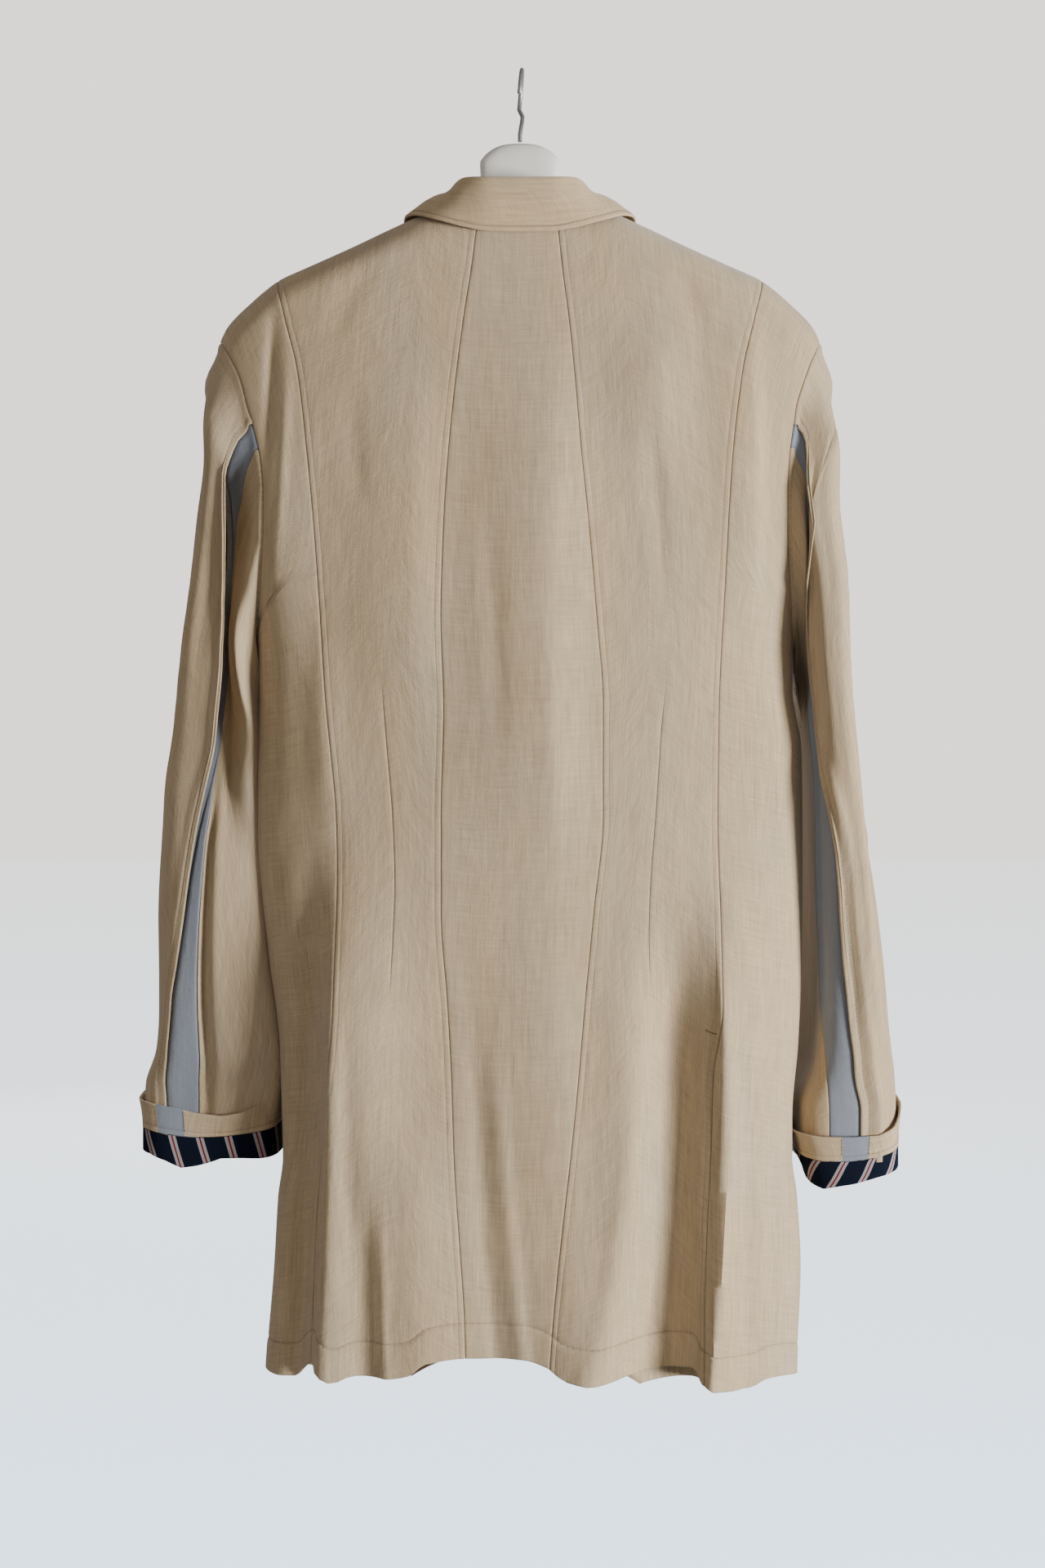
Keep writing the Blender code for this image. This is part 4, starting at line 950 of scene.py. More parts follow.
# The sleeves' level sections: the middle's place, the half widths, how far they lie behind and are turned,
# and how deep the dent beside the strip is.
SLEEVE_COLUMNS = "height middle half_width half_depth behind turn dent"
SLEEVE = {
    1: table(
        SLEEVE_COLUMNS,
        (-205, 233, 39, 22, -10, 0, 0), (-230, 229.5, 36.5, 36, -12, 0, 1),
        (-260, 219.5, 29.5, 50, -15, 0, 4), (-300, 220, 26, 60, -18, 0, 10),
        (-350, 225.8, 23.8, 67, -21, 0, 13), (-400, 232.4, 22.4, 72, -24, 0, 13),
        (-455, 239, 24, 75, -27, -8, 12), (-515, 241.5, 28.5, 71, -28, -16, 10),
        (-570, 246.4, 32.4, 67, -28, -24, 8), (-650, 245.8, 36.8, 60, -28, -34, 5),
        (-714, 243.1, 40.1, 55, -28, -40, 3), (-766, 240.8, 45.8, 50, -28, -45, 1),
        (-796, 243.5, 52, 45, -28, -46, 0), (-880, 243.5, 52, 45, -28, -46, 0),
    ),
    -1: table(
        SLEEVE_COLUMNS,
        (-205, 229, 36, 22, -10, 0, 0), (-230, 226, 35, 36, -12, 0, 1), (-260, 217.5, 28.5, 50, -15, 0, 4),
        (-300, 224.3, 25.3, 62, -19, 2, 9), (-350, 229.5, 18.5, 72, -24, 5, 11),
        (-400, 237, 16, 79, -28, 8, 11), (-455, 240.4, 15, 83, -32, 12, 9),
        (-526, 247, 15.5, 82, -34, 16, 7), (-582, 251, 17.5, 78, -35, 18, 5),
        (-650, 257, 21.5, 72, -35, 18, 4), (-714, 261.5, 25, 66, -35, 14, 3),
        (-776, 263, 31.5, 57, -35, 0, 1), (-812, 258.5, 39, 51, -35, -16, 0),
        (-890, 258.5, 39, 51, -35, -16, 0),
    ),
}
# The height where each sleeve ends inside its cuff.
SLEEVE_END = {1: -0.8400, -1: -0.8520}
# Where each point of the armhole, by its height, starts round the sleeve: 0 outside and 180 inside.
SLEEVE_ROUND = table(
    "height degrees",
    (-211, 0), (-220, 24), (-230, 42), (-245, 60), (-267, 80), (-290, 98), (-320, 110),
    (-350, 122), (-385, 139), (-420, 158), (-455, 180),
)
# The sleeve's creases: from one place to another, each as a height and a distance round the sleeve behind
# its outermost line, then their half width and how far they stand out.
CREASE_COLUMNS = "round_1 height_1 round_2 height_2 width rise"
SLEEVE_CREASES = {
    1: table(
        CREASE_COLUMNS,
        (20, -300, 48, -470, 7, 1.2), (40, -420, 62, -600, 6, 1.5), (8, -380, 30, -560, 8, -1.2),
        (60, -560, 46, -800, 8, 1.6), (34, -600, 26, -800, 9, -1.5), (10, -640, 2, -800, 10, 1.4),
        (84, -600, 76, -790, 7, -1.6), (-20, -330, -8, -520, 9, 1.8), (-40, -460, -20, -700, 9, -2.0),
        (0, -560, 44, -536, 6, -1.2), (6, -690, 48, -662, 6, 1.2), (-70, -360, -60, -640, 10, 2.0),
        (-100, -420, -92, -760, 10, -2.2), (120, -480, 112, -760, 9, 1.8),
        (-130, -520, -140, -780, 9, 1.6), (16, -250, 52, -286, 5, 1.2), (46, -276, 70, -318, 5, 1.0),
        (52, -244, 70, -284, 8, -0.6),
    ),
    -1: table(
        CREASE_COLUMNS,
        (30, -300, 40, -520, 7, 2.0), (10, -340, 20, -560, 8, -2.0), (36, -520, 52, -760, 7, 2.6),
        (14, -560, 30, -790, 8, -2.6), (-6, -560, 4, -790, 9, 2.0), (66, -560, 74, -780, 7, -1.6),
        (-30, -360, -20, -600, 9, 1.8), (-44, -520, -30, -780, 9, -2.0), (0, -470, 36, -452, 6, -1.2),
        (4, -612, 40, -590, 6, 1.3), (-76, -380, -64, -660, 10, 2.0), (-104, -440, -96, -780, 10, -2.2),
        (110, -500, 104, -780, 9, 1.8), (-134, -540, -128, -800, 9, 1.6), (54, -244, 72, -292, 6, 1.0),
    ),
}
# How far round the outside of the sleeve one degree takes, for its creases.
ROUND_STEP = 0.0009


def creases(rows, across, height):
    """How far creases that run from place to place lift the cloth, tapering at both ends."""
    total = np.zeros(np.shape(across))
    for x_1, z_1, x_2, z_2, width, rise in zip(*rows.values()):
        run = np.array((x_2 - x_1, z_2 - z_1))
        share = ((across - x_1) * run[0] + (height - z_1) * run[1]) / (run @ run)
        held = np.clip(share, 0.0, 1.0)
        away = np.hypot(across - x_1 - held * run[0], height - z_1 - held * run[1])
        taper = smooth(held / 0.35) * smooth((1.0 - held) / 0.35)
        total += rise * taper * np.exp(-((away / width) ** 2))
    return total


def armhole_ring(side):
    """The armhole's places, the body's way out there and the way to the sleeve, by degrees round it."""
    falls = np.linspace(0.0, UNDERARM_FALL / BODY_LENGTH, 140)
    behind, before = armhole_line(side, 1, falls), armhole_line(side, -1, falls)
    points = np.concatenate([torso(behind, falls), torso(before, falls, side)[-2:0:-1]])
    out = np.concatenate([torso_normals(behind, falls), torso_normals(before, falls, side)[-2:0:-1]])
    away = unit(np.cross(np.roll(points, -1, axis=0) - np.roll(points, 1, axis=0), out) * side)
    degrees = along(SLEEVE_ROUND, "degrees", points[:, 2])
    degrees[len(falls):] = 360.0 - degrees[len(falls):]
    every = np.concatenate([points, out, away], axis=1)
    every = np.concatenate([every[-1:], every, every[:1]])
    degrees = np.concatenate([[degrees[-1] - 360.0], degrees, [360.0]])
    return degrees, every


ARMHOLE_RINGS = {side: armhole_ring(side) for side in (1, -1)}
# Rows beside the armhole seam: past it, sunk, and under the arm back from it and off the body. The other
# rows are shares of the way down to the cuff. The cap has its full form this far below the seam.
SEAM_ROWS = ((0.55, 0.85, 0.0, 0.0), (0.9, 0.4, 0.0, 0.2), (1.4, 0.1, 0.0, 0.6), (2.0, 0.0, 0.0, 1.2),
             (3.4, 0.0, -1.0, 2.4))
SLEEVE_SHARES = np.concatenate([(0.008, 0.018, 0.03), evenly(0.0105, 0.042, 1.0)])
CAP_FALL = 0.065
# Where round the sleeve the underarm lies, and over how many degrees it begins and ends.
UNDERARM, UNDERARM_EASE = (98.0, 262.0), 44.0
# The dent beside the strip: where round the sleeve, over how many degrees, and what the long fold leaves.
DENT_AT, DENT_REACH, DENT_LEFT = 82.0, 26.0, 0.35
# How much fuller and flatter than an oval the sleeve's back and its outer side are.
FLAT_BACK = 0.35
FLAT_OUTSIDE = {1: 0.08, -1: 0.0}


def sleeve_section(side, height, degrees, out=0.0):
    """A place round a sleeve at a height, moved out of its cloth by the given length."""
    rows = SLEEVE[side]
    turned_by = np.radians(degrees + along(rows, "turn", height))
    beside_strip = np.exp(-((((degrees + 180) % 360 - 180 - DENT_AT) / DENT_REACH) ** 2))
    dent = DENT_LEFT * along(rows, "dent", height) * beside_strip
    half_width = along(rows, "half_width", height) + out - dent
    half_depth = along(rows, "half_depth", height) + out - dent
    across, deep = np.cos(turned_by), np.sin(turned_by)
    fuller = (FLAT_BACK + FLAT_OUTSIDE[side] * smooth(across * 2.0)) * smooth(deep * 2.0 + 0.3)
    x = along(rows, "middle", height) + half_width * across * (1.0 + fuller * deep**2)
    y = along(rows, "behind", height) + half_depth * deep * (1.0 + fuller * across**2)
    return np.stack([side * x, y, np.broadcast_to(height, x.shape)], axis=-1)


def sleeve_surface(side, degrees):
    """The sleeve's points, by rows of degrees round it: SEAM_ROWS first, then SLEEVE_SHARES."""
    known, every = ARMHOLE_RINGS[side]
    round_sleeve = degrees % 360.0
    here = read_along(known, every, round_sleeve)
    seam, out, away = here[..., :3], unit(here[..., 3:6]), unit(here[..., 6:])
    first, last = UNDERARM
    under = smooth((round_sleeve - first) / UNDERARM_EASE) * smooth((last - round_sleeve) / UNDERARM_EASE)
    under = under[..., None]
    points = np.empty(degrees.shape + (3,))
    for i, (past, sunk, back, off) in enumerate(SEAM_ROWS):
        points[i] = seam[i] + away[i] * MM * (past + back * under[i])
        points[i] += out[i] * MM * (off * under[i] - sunk)
    past, _, back, off = SEAM_ROWS[-1]
    for i, share in enumerate(SLEEVE_SHARES, len(SEAM_ROWS)):
        start = seam[i] + away[i] * MM * (past + back * under[i]) + out[i] * MM * off * under[i]
        height = start[:, 2] + (SLEEVE_END[side] - start[:, 2]) * share
        section = sleeve_section(side, height, degrees[i])
        gone = smooth((start[:, 2] - height) / CAP_FALL)[:, None]
        points[i] = start + (section - start) * (1 - (1 - gone) ** 1.5)
        points[i, :, 2] = height
    return points


def fall_degrees(fall):
    """Where round the sleeve a seam starts that leaves the armhole this far below the shoulder."""
    angle = armhole_line(1, 1, np.array((fall / BODY_LENGTH,)))
    return along(SLEEVE_ROUND, "degrees", torso(angle, np.array((fall / BODY_LENGTH,)))[:, 2])[0]


STRIP_TOP, STRIP_LOW, FRONT_SEAM = fall_degrees(0.103), fall_degrees(0.138), fall_degrees(0.168)
# By height: where round the sleeve the upper sleeve's edge and the strip's other edge lie, how far the
# upper sleeve bulges at its edge, how deep the cloth beside the strip is folded in, how far the sleeve rolls
# towards the body and how deep a trough runs down beside the strip. Where both edges meet, the upper sleeve
# has slipped over the strip.
EDGE_COLUMNS = "height degrees_edge degrees_strip over under roll trough"
SLEEVE_EDGES = {
    1: table(
        EDGE_COLUMNS,
        (-200, STRIP_TOP, STRIP_LOW, 0, 0, 0, 0), (-281, STRIP_TOP, STRIP_LOW, 0, 0, 0, 0),
        (-293, 81, 105, 0.6, 3, 0, 0), (-317, 79, 98.5, 2, 13, 4, 0), (-340, 87.9, 101.2, 2.5, 25, 9, 0),
        (-371, 98.6, 102.4, 3, 33, 14, 0), (-414, 108.6, 109.2, 3, 38, 17, 0),
        (-444, 116.8, 117.4, 3, 40, 19, 0), (-472, 119.8, 120.4, 3, 40, 20, 0),
        (-507, 118.9, 119.5, 3, 38, 20, 0), (-533, 120.2, 120.8, 2.8, 34, 20, 0),
        (-562, 118.5, 122.4, 2.4, 26, 20, 1), (-582, 115.2, 122, 1.8, 19, 20, 3),
        (-601, 112.7, 121.2, 1.4, 13, 20, 5), (-626, 110.4, 121.6, 1, 9, 20, 7),
        (-660, 108.2, 121.9, 0.8, 6, 20, 8.5), (-698, 102.9, 121.7, 0.6, 4, 20, 9),
        (-726, 98.6, 122.8, 0.5, 3, 23, 9), (-760, 98.9, 126.3, 0.4, 2, 22, 8),
        (-800, 107.5, 130.6, 0.2, 1, 14, 6), (-830, 108.3, 130.6, 0.1, 0.5, 2, 4),
        (-870, 108.3, 130.6, 0, 0, 0, 3),
    ),
    -1: table(
        EDGE_COLUMNS,
        (-200, STRIP_TOP, STRIP_LOW, 0, 0, 0, 0), (-280, STRIP_TOP, STRIP_LOW, 0, 0, 0, 0),
        (-288, 81, 105, 0.8, 1, 0, 0), (-319, 92.9, 97, 2.5, 5, 0, 0), (-361, 108.9, 109.5, 3, 8, 0, 0),
        (-382, 117.4, 118, 3, 8, 2, 0), (-415, 130.2, 131.2, 2.8, 8, 5, 0), (-442, 136.6, 141, 2.4, 7, 9, 0),
        (-469, 138, 151, 2, 6, 12, 0), (-500, 133.3, 160.5, 1.8, 6, 14, 0),
        (-520, 131.8, 160, 1.7, 6, 14, 0), (-543, 123.2, 154.3, 1.6, 6, 14, 0),
        (-580, 105.2, 149.8, 1.4, 5, 14, 0), (-616, 96.2, 153, 1.1, 4, 14, 0),
        (-652, 93.8, 153, 0.9, 3, 15, 0), (-691, 93.8, 152, 0.7, 2.5, 17, 0),
        (-726, 90.8, 147.2, 0.5, 2, 19, 0), (-762, 91.4, 134, 0.3, 1.2, 17, 0),
        (-799, 96.7, 126.4, 0.2, 0.7, 10, 0), (-830, 97, 126, 0.1, 0.3, 2, 0), (-880, 97, 126, 0, 0, 0, 0),
    ),
}
# How far from its edge the bulge and the fold reach, and how sharply the fold ends.
OVER_REACH = 11 * MM
UNDER_REACH = {1: 55 * MM, -1: 19 * MM}
UNDER_SQUARE = {1: 4.0, -1: 1.6}
TROUGH_PLACE, TROUGH_WIDTH = 5.0 * MM, 6.0 * MM
# Where round the sleeve it rolls to the body, over how many degrees, and which way.
ROLL_AT = {1: 184.0, -1: 222.0}
ROLL_REACH = {1: 26.0, -1: 32.0}
ROLL_WAY = {1: (-0.6, 0.2, 0.0), -1: (1.0, 0.0, 0.0)}
SLEEVE_ROWS = len(SEAM_ROWS) + len(SLEEVE_SHARES)
# A soft ridge down the upper sleeves beside their stitched edge: how far from the edge, rise and width.
EDGE_RIDGE = {1: (9 * MM, 0.8 * MM, 3 * MM), -1: (14 * MM, 2.6 * MM, 4.5 * MM)}


def sleeve_line(side, column):
    """Where an edge lies round the sleeve on each row, from its place at each height."""
    degrees = np.full((SLEEVE_ROWS, 1), 100.0)
    for _ in range(20):
        height = sleeve_surface(side, degrees)[..., 2]
        degrees = 0.5 * degrees + 0.5 * along(SLEEVE_EDGES[side], column, height)
    return degrees[:, 0]


def slipped(side, degrees, points, out, upper, under):
    """How the long fold beside the strip moves the cloth of the sleeve, in length and direction."""
    rows, height = SLEEVE_EDGES[side], points[..., 2]
    edge = points[:, :1] if under else points[:, -1:]
    away = np.linalg.norm(points - edge, axis=-1)
    rolled = np.exp(-(((degrees % 360 - ROLL_AT[side]) / ROLL_REACH[side]) ** 2))
    to_body = np.array(ROLL_WAY[side]) * (along(rows, "roll", height) * rolled)[..., None]
    if upper:
        reach, lift, width = EDGE_RIDGE[side]
        move = along(rows, "over", height) * np.exp(-((away / OVER_REACH) ** 2))
        move = move + lift * smooth((-0.30 - height) / 0.15) * np.exp(-(((away - reach) / width) ** 2))
        return out * (move * (degrees > 0))[..., None] + to_body
    sunk = along(rows, "under", height) * np.exp(-((away / UNDER_REACH[side]) ** UNDER_SQUARE[side]))
    if under:
        sunk = sunk + along(rows, "trough", height) * np.exp(-(((away - TROUGH_PLACE) / TROUGH_WIDTH) ** 2))
    back = unit(out * 0.2 + np.array((0.0, 1.0, 0.0)))
    return to_body - back * sunk[..., None]


# The upper sleeve laps over the strip by its first column, and its edge is turned in.
LAPPED = (
    (-1.4, -0.9), (-0.9, -1.15), (0, -1.1), (1.5, -0.8), (3.0, -0.5), (3.9, -0.4), (4.6, -0.1), (5.3, -0.25),
    (8.5, 0),
)
UNDER_LAP = ((-2.6, 2.8), (-1.3, 2.3), (0.1, 1.6), (1.5, 0.8), (3.5, 0.2), (7.0, 0))
LAP_EDGE = ((0.0, 0.4), (0.15, 0.9), (0.8, 1.4), (3.0, 1.9))


def make_sleeve_piece(name, side, first, last, besides, middle, edges, material, start):
    lines = [np.full(SLEEVE_ROWS, edge) if np.isscalar(edge) else edge for edge in (first, last)]
    upper = name.startswith("upper")

    def surface(degrees):
        return sleeve_surface(side, degrees)

    degrees, sunk = columns_beside(surface, lines, besides, (middle,))
    points = surface(degrees)
    height = points[..., 2]
    centre = sleeve_section(side, height[:, :1], np.zeros((SLEEVE_ROWS, 1))) * 0.5
    centre = centre + sleeve_section(side, height[:, :1], np.full((SLEEVE_ROWS, 1), 180.0)) * 0.5
    out = grid_normals(points, points - centre)
    round_sleeve = ((degrees + 180) % 360 - 180) * ROUND_STEP
    folds = creases(SLEEVE_CREASES[side], round_sleeve, height)
    near_armhole = smooth((np.arange(SLEEVE_ROWS) - 4.0) / 8.0)[:, None]
    long_fold = slipped(side, degrees, points, out, upper, name.startswith("under"))
    move = folds * near_armhole - sunk * MM * np.maximum(near_armhole, 0.75)
    points = points + out * move[..., None] + long_fold * near_armhole[..., None]
    # The long fold hides the stitches where it has slipped over the strip, so there the upper sleeve gets no
    # painted shade along its lapped edge. Elsewhere painted shade darkens the cloth where it sinks at seams
    # and stitches.
    rows = SLEEVE_EDGES[side]
    seen = smooth((along(rows, "degrees_strip", height) - along(rows, "degrees_edge", height)) / 4.0)
    painted_seam_shade = np.clip(np.maximum(sunk, 0.0) / 0.6, 0.0, 1.0) * (seen if upper else 1.0)
    out = with_painted_seam_shade(grid_normals(points, points - centre), painted_seam_shade)
    for edge, steps in edges:
        points, out = turned(points, out, edge, steps)
    return make_cloth(name, points, material, out, start=start), points, out[..., :3]


for word, side, shift, strip_flat, strip_area in (
    ("left", 1, 0.0, (0.03, 0.60), 0.0145), ("right", -1, 1.7, (0.05, 0.61), 0.0255),
):
    edges = (("first", SEWN), ("last", SEWN), ("top", SEWN))
    strip_edge, strip_end = sleeve_line(side, "degrees_edge"), sleeve_line(side, "degrees_strip")
    top, top_points, top_out = make_sleeve_piece(
        "upper_sleeve_" + word, side, -FRONT_SEAM, strip_edge, (PLAIN_SEAM, LAPPED), 52,
        (("first", SEWN), ("last", LAP_EDGE), ("top", SEWN)), LINEN, (8.3 + shift, 0.5),
    )
    strip, _, _ = make_sleeve_piece(
        "back_strip_" + word, side, strip_edge, strip_end, (UNDER_LAP, PLAIN_SEAM), 8, edges,
        STRIP_LINEN, (9.4 + shift, 0.1),
    )
    under, _, _ = make_sleeve_piece(
        "under_sleeve_" + word, side, strip_end, 360.0 - FRONT_SEAM, (PLAIN_SEAM, PLAIN_SEAM), 40, edges,
        LINEN, (11.2 + shift, 0.9),
    )
    # The topstitches lie along the lapped edge, on its seventh column in.
    lap_column = -len(LAP_EDGE) - 7
    rows_below = slice(8, None)
    sleeve_stitches = make_stitches("sleeve_stitches_" + word, (
        (top_points[rows_below, lap_column], top_out[rows_below, lap_column]),
    ))
    for piece, node, flat, area, slot, pieces in (
        (top, "sleeve_top_", (0.27, 0.665), 0.124, "linen", [sleeve_stitches]),
        (strip, "sleeve_stripe_", strip_flat, strip_area, "strip_linen", []),
        (under, "sleeve_under_", (0.15, 0.565), 0.062, "linen", []),
    ):
        finish_piece(piece, slot, node + word)


# The cuffs. Each sleeve end is turned back once. Its linen facing, with a piece of the grey-blue strip let
# in, shows on top, and below it the dark striped lining, which goes round the fold and up inside the sleeve.

CUFF_OUT = 0.0021
FOLD_ROUND = 0.0016
# The facing's row that carries its stitches, counted from its top.
CUFF_STITCHED = 11
# The rows of the facing that show, once its top is turned in.
FACING_ROWS = slice(5, 16)
# The heights of the facing's top and lower edge, of the fold and of the lining's end inside the sleeve.
CUFF = {1: MM * np.array((-816, -832, -857, -816)), -1: MM * np.array((-832, -851, -873.5, -832))}
# Round each sleeve end, from 0 outside over 90 behind to 180 beside the body: how much higher the facing's
# top, its lower edge and the fold lie than at their lowest, how far the top flares and how far the fold
# draws in.
ROUND_COLUMNS = "turn top low fold flare drawn"
CUFF_ROUND = {
    1: table(
        ROUND_COLUMNS,
        (0, 13, 8, 13, 2.5, 0), (46, 10.5, 5, 11, 2.5, 0), (63, 8, 2.5, 6, 2.2, 0),
        (74, 5.6, 1, 0.5, 2.2, 0), (83, 2.5, 0, 2, 2.2, 0), (91, 1.2, 0, 4.5, 2.4, 0),
        (99, 0, 0.5, 8, 2.4, 0), (112, 2.5, 2, 8, 2.2, 0), (130, 9, 4, 7, 2, 0), (161, 12, 7, 7.5, 2, 0),
        (180, 13, 8, 7.5, 2.2, 0), (225, 13, 8, 9, 2.5, 0), (270, 12, 7, 10, 2.5, 0),
        (315, 14, 8, 12, 2.5, 0), (360, 13, 8, 13, 2.5, 0),
    ),
    -1: table(
        ROUND_COLUMNS,
        (0, 25, 12, 16, 2, 0), (25, 22, 11, 15, 2, 0), (51, 6, 6, 12, 2, 0), (69, 0.5, 3, 9, 2, 0),
        (90, -0.6, 0, 4, 2.2, 0), (117, -0.5, 0, -0.5, 3, 3), (150, 2, 3, 5, 5.5, 6),
        (180, 8, 8, 12, 7.5, 8), (205, 22, 12, 16, 6, 6), (225, 28, 13, 18, 4, 3),
        (270, 22, 12, 17, 2.5, 0), (320, 24, 12, 16, 2, 0), (360, 25, 12, 16, 2, 0),
    ),
}
# Where the strip goes on round the facing, in degrees round the sleeve.
FACING_STRIP = {1: (104.5, 121.5), -1: (92.0, 114.0)}
NAVY = (0.004, 0.0065, 0.015)
STRIPE_STEP = 0.022
STRIPE_LEAN = {1: -0.28, -1: -0.75}


def add_mixed(tree, factor, first, second):
    settings = {"data_type": "RGBA"}
    return add_node(tree, "ShaderNodeMix", settings, Factor=factor, _6=first, _7=second).outputs[2]


def make_lining_material(name, lean):
    """Smooth dark navy lining, with a soft grey stripe and a fine dark red line down its middle."""
    material, tree, shader = own_material(name, NAVY, 0.9)
    shader.inputs["Specular IOR Level"].default_value = 0.08

    maths = partial(add_maths, tree)
    place = add_node(tree, "ShaderNodeUVMap").outputs["UV"]
    threads = add_node(tree, "ShaderNodeSeparateXYZ", Vector=place)
    # The lining is turned back askew, so that its stripes lean.
    weft = maths("MULTIPLY_ADD", threads.outputs["Y"], lean, threads.outputs["X"])
    # How far a place lies from the middle of the nearest stripe.
    beside = maths("SUBTRACT", maths("FRACT", maths("DIVIDE", weft, STRIPE_STEP)), 0.5)
    beside = maths("MULTIPLY", maths("ABSOLUTE", beside), STRIPE_STEP)
    stripe, line = (maths("LESS_THAN", beside, half_width) for half_width in (0.0030, 0.0007))
    striped = add_mixed(tree, stripe, (*NAVY, 1), (0.30, 0.27, 0.27, 1))
    lined = add_mixed(tree, line, striped, (0.16, 0.012, 0.02, 1))
    weave = add_node(
        tree, "ShaderNodeGroup", {"node_tree": WEAVE},
        Colour=lined, Thread=0.0003, Slubs=0.15, Mottle=0.2,
    )
    relief = add_relief(tree, weave.outputs["Rumple"], 0.3, 0.001)
    connect(tree, shader.inputs, Base_Color=weave.outputs["Colour"], Normal=relief)
    return material


def round_cuff(side, column, degrees, height):
    """A column of CUFF_ROUND for each place round a sleeve end."""
    turn = (degrees + along(SLEEVE[side], "turn", height)) % 360.0
    return np.interp(turn, CUFF_ROUND[side]["turn"], CUFF_ROUND[side][column])


for word, side, shift in (("left", 1, 0.0), ("right", -1, 0.6)):
    band_top, band_low, fold, inside = CUFF[side]
    degrees = np.linspace(0.0, 360.0, 132, endpoint=False)
    band = []
    low, top, flare = (round_cuff(side, name, degrees, fold) for name in ("low", "top", "flare"))
    for up in np.concatenate([(1.0, 0.985, 0.95, 0.9), np.linspace(0.83, 0.24, 7), (0.2, 0.16, 0.08, 0.0)]):
        height = band_low + low + (band_top - band_low + top - low) * up
        stitched = LINE_SUNK * np.exp(-(((up - 0.2) / 0.05) ** 2))
        band.append(sleeve_section(side, height, degrees, CUFF_OUT + flare * up**1.8 - stitched))
    band = np.array(band)
    out = grid_normals(band, band - band.mean(axis=1, keepdims=True), ring=True)
    seam_row = band[CUFF_STITCHED] + out[CUFF_STITCHED] * STITCH_PROUD, out[CUFF_STITCHED]
    band, out = turned(band, out, "top", ((-0.1, 0.4), (0.0, 0.8), (0.8, 1.1), (5.0, 1.1)))
    facing = make_cloth("cuff_facing_" + word, band, LINEN, ring=True, start=(13.0 + shift, 0.2))
    facing.data.materials.append(STRIP_LINEN)
    first, last = FACING_STRIP[side]
    flat_places = (band[CUFF_STITCHED] + np.roll(band[CUFF_STITCHED], -1, axis=0))[:, :2] / 2
    for face in facing.data.polygons:
        column = np.argmin(np.linalg.norm(flat_places - np.array(face.center)[:2], axis=1))
        face.material_index = int(first < degrees[column] + 1.4 < last)
    # Two stitched lines hold the strip's edges, and one the facing's lower edge.
    lines = [seam_row]
    for edge in (first, last):
        column = int(round(edge / 360.0 * len(degrees)))
        place, way = band[FACING_ROWS, column], out[FACING_ROWS, column]
        lines.append((place + way * STITCH_PROUD, way))
    facing_stitches = make_stitches("cuff_stitches_" + word, lines, length=0.0022, step=0.0028)
    finish_piece(facing, "linen", "cuff_band_" + word)

    turn = CUFF_OUT - 0.0002
    route = [(height, turn) for height in np.linspace(band_low - 0.0009, fold + FOLD_ROUND, 7)]
    middle = fold + FOLD_ROUND
    route += [(middle - (FOLD_ROUND - 0.0003) * np.sin(angle), turn * np.cos(angle))
              for angle in np.linspace(0.0, np.pi, 9)[1:-1]]
    route += [(height, -turn) for height in np.linspace(middle, inside, 10)]
    lining = []
    fold_round, drawn = (round_cuff(side, name, degrees, fold) for name in ("fold", "drawn"))
    for height, off in route:
        # The fold hangs unevenly, and the lining inside the sleeve follows it.
        if off > -turn:
            lower = (band_low - height) / (band_low - fold)
            rise = low + (fold_round - low) * lower
        else:
            lower = smooth((inside - height) / (inside - fold))
            rise = fold_round * lower
        lining.append(sleeve_section(side, height + rise, degrees, off - drawn * smooth(lower)))
    lining = np.array(lining)
    material = make_lining_material("striped lining " + word, STRIPE_LEAN[side])
    piece = make_cloth(
        "sleeve_lining_" + word, lining, material, thickness=THIN_CLOTH, ring=True, start=(15.0 + shift, 0.0)
    )
    finish_piece(piece, "striped_lining", "cuff_lining_" + word)


# The collar. One folded linen collar, a stand sewn to the neck and a fall that lies over the shoulders, two
# cloths thick and topstitched near its edge.

COLLAR = table(
    "share fold_x fold_y fold_z roll edge_x edge_behind swell",
    (0, 0, 48, -95, 3.0, 0, 47, 2), (0.18, 24, 47, -94.5, 3.0, 24, 46, 2),
    (0.34, 43, 39, -93, 3.0, 45, 42, 3), (0.48, 54, 20, -98, 2.8, 68, 32, 5),
    (0.6, 57, -1, -103, 2.6, 88, 8, 6), (0.72, 57, -26, -111, 2.4, 91, -20, 7),
    (0.85, 55, -46, -137, 2.0, 89, -46, 5), (1, 46.5, -54.5, -173.5, 1.6, 84, -84, 2),
)
COLLAR_NECK = table("share across", (0, 0), (0.18, 24), (0.34, 45), (0.48, 62), (0.6, 72))
# How far the fall lies off the body, how far the neck seam runs down in front and where round it that
# starts, and how far it lies above the back's neck and inside the front's edge.
COLLAR_LIFT = 0.0042
COLLAR_FRONT, FRONT_START = 0.085, 0.6
COLLAR_SEAM_RISE = 0.0012
LAPEL_ROLL = 0.0013


def ridge_drop(length):
    """How far below the shoulder's ridge a place lies that is this far from it round the cloth."""
    arc = RIDGE_FALL * np.pi / 2
    turn = np.minimum(length / arc, 1.0) * np.pi / 2
    return RIDGE_FALL * (1.0 - np.cos(turn)) + np.maximum(length - arc, 0.0)


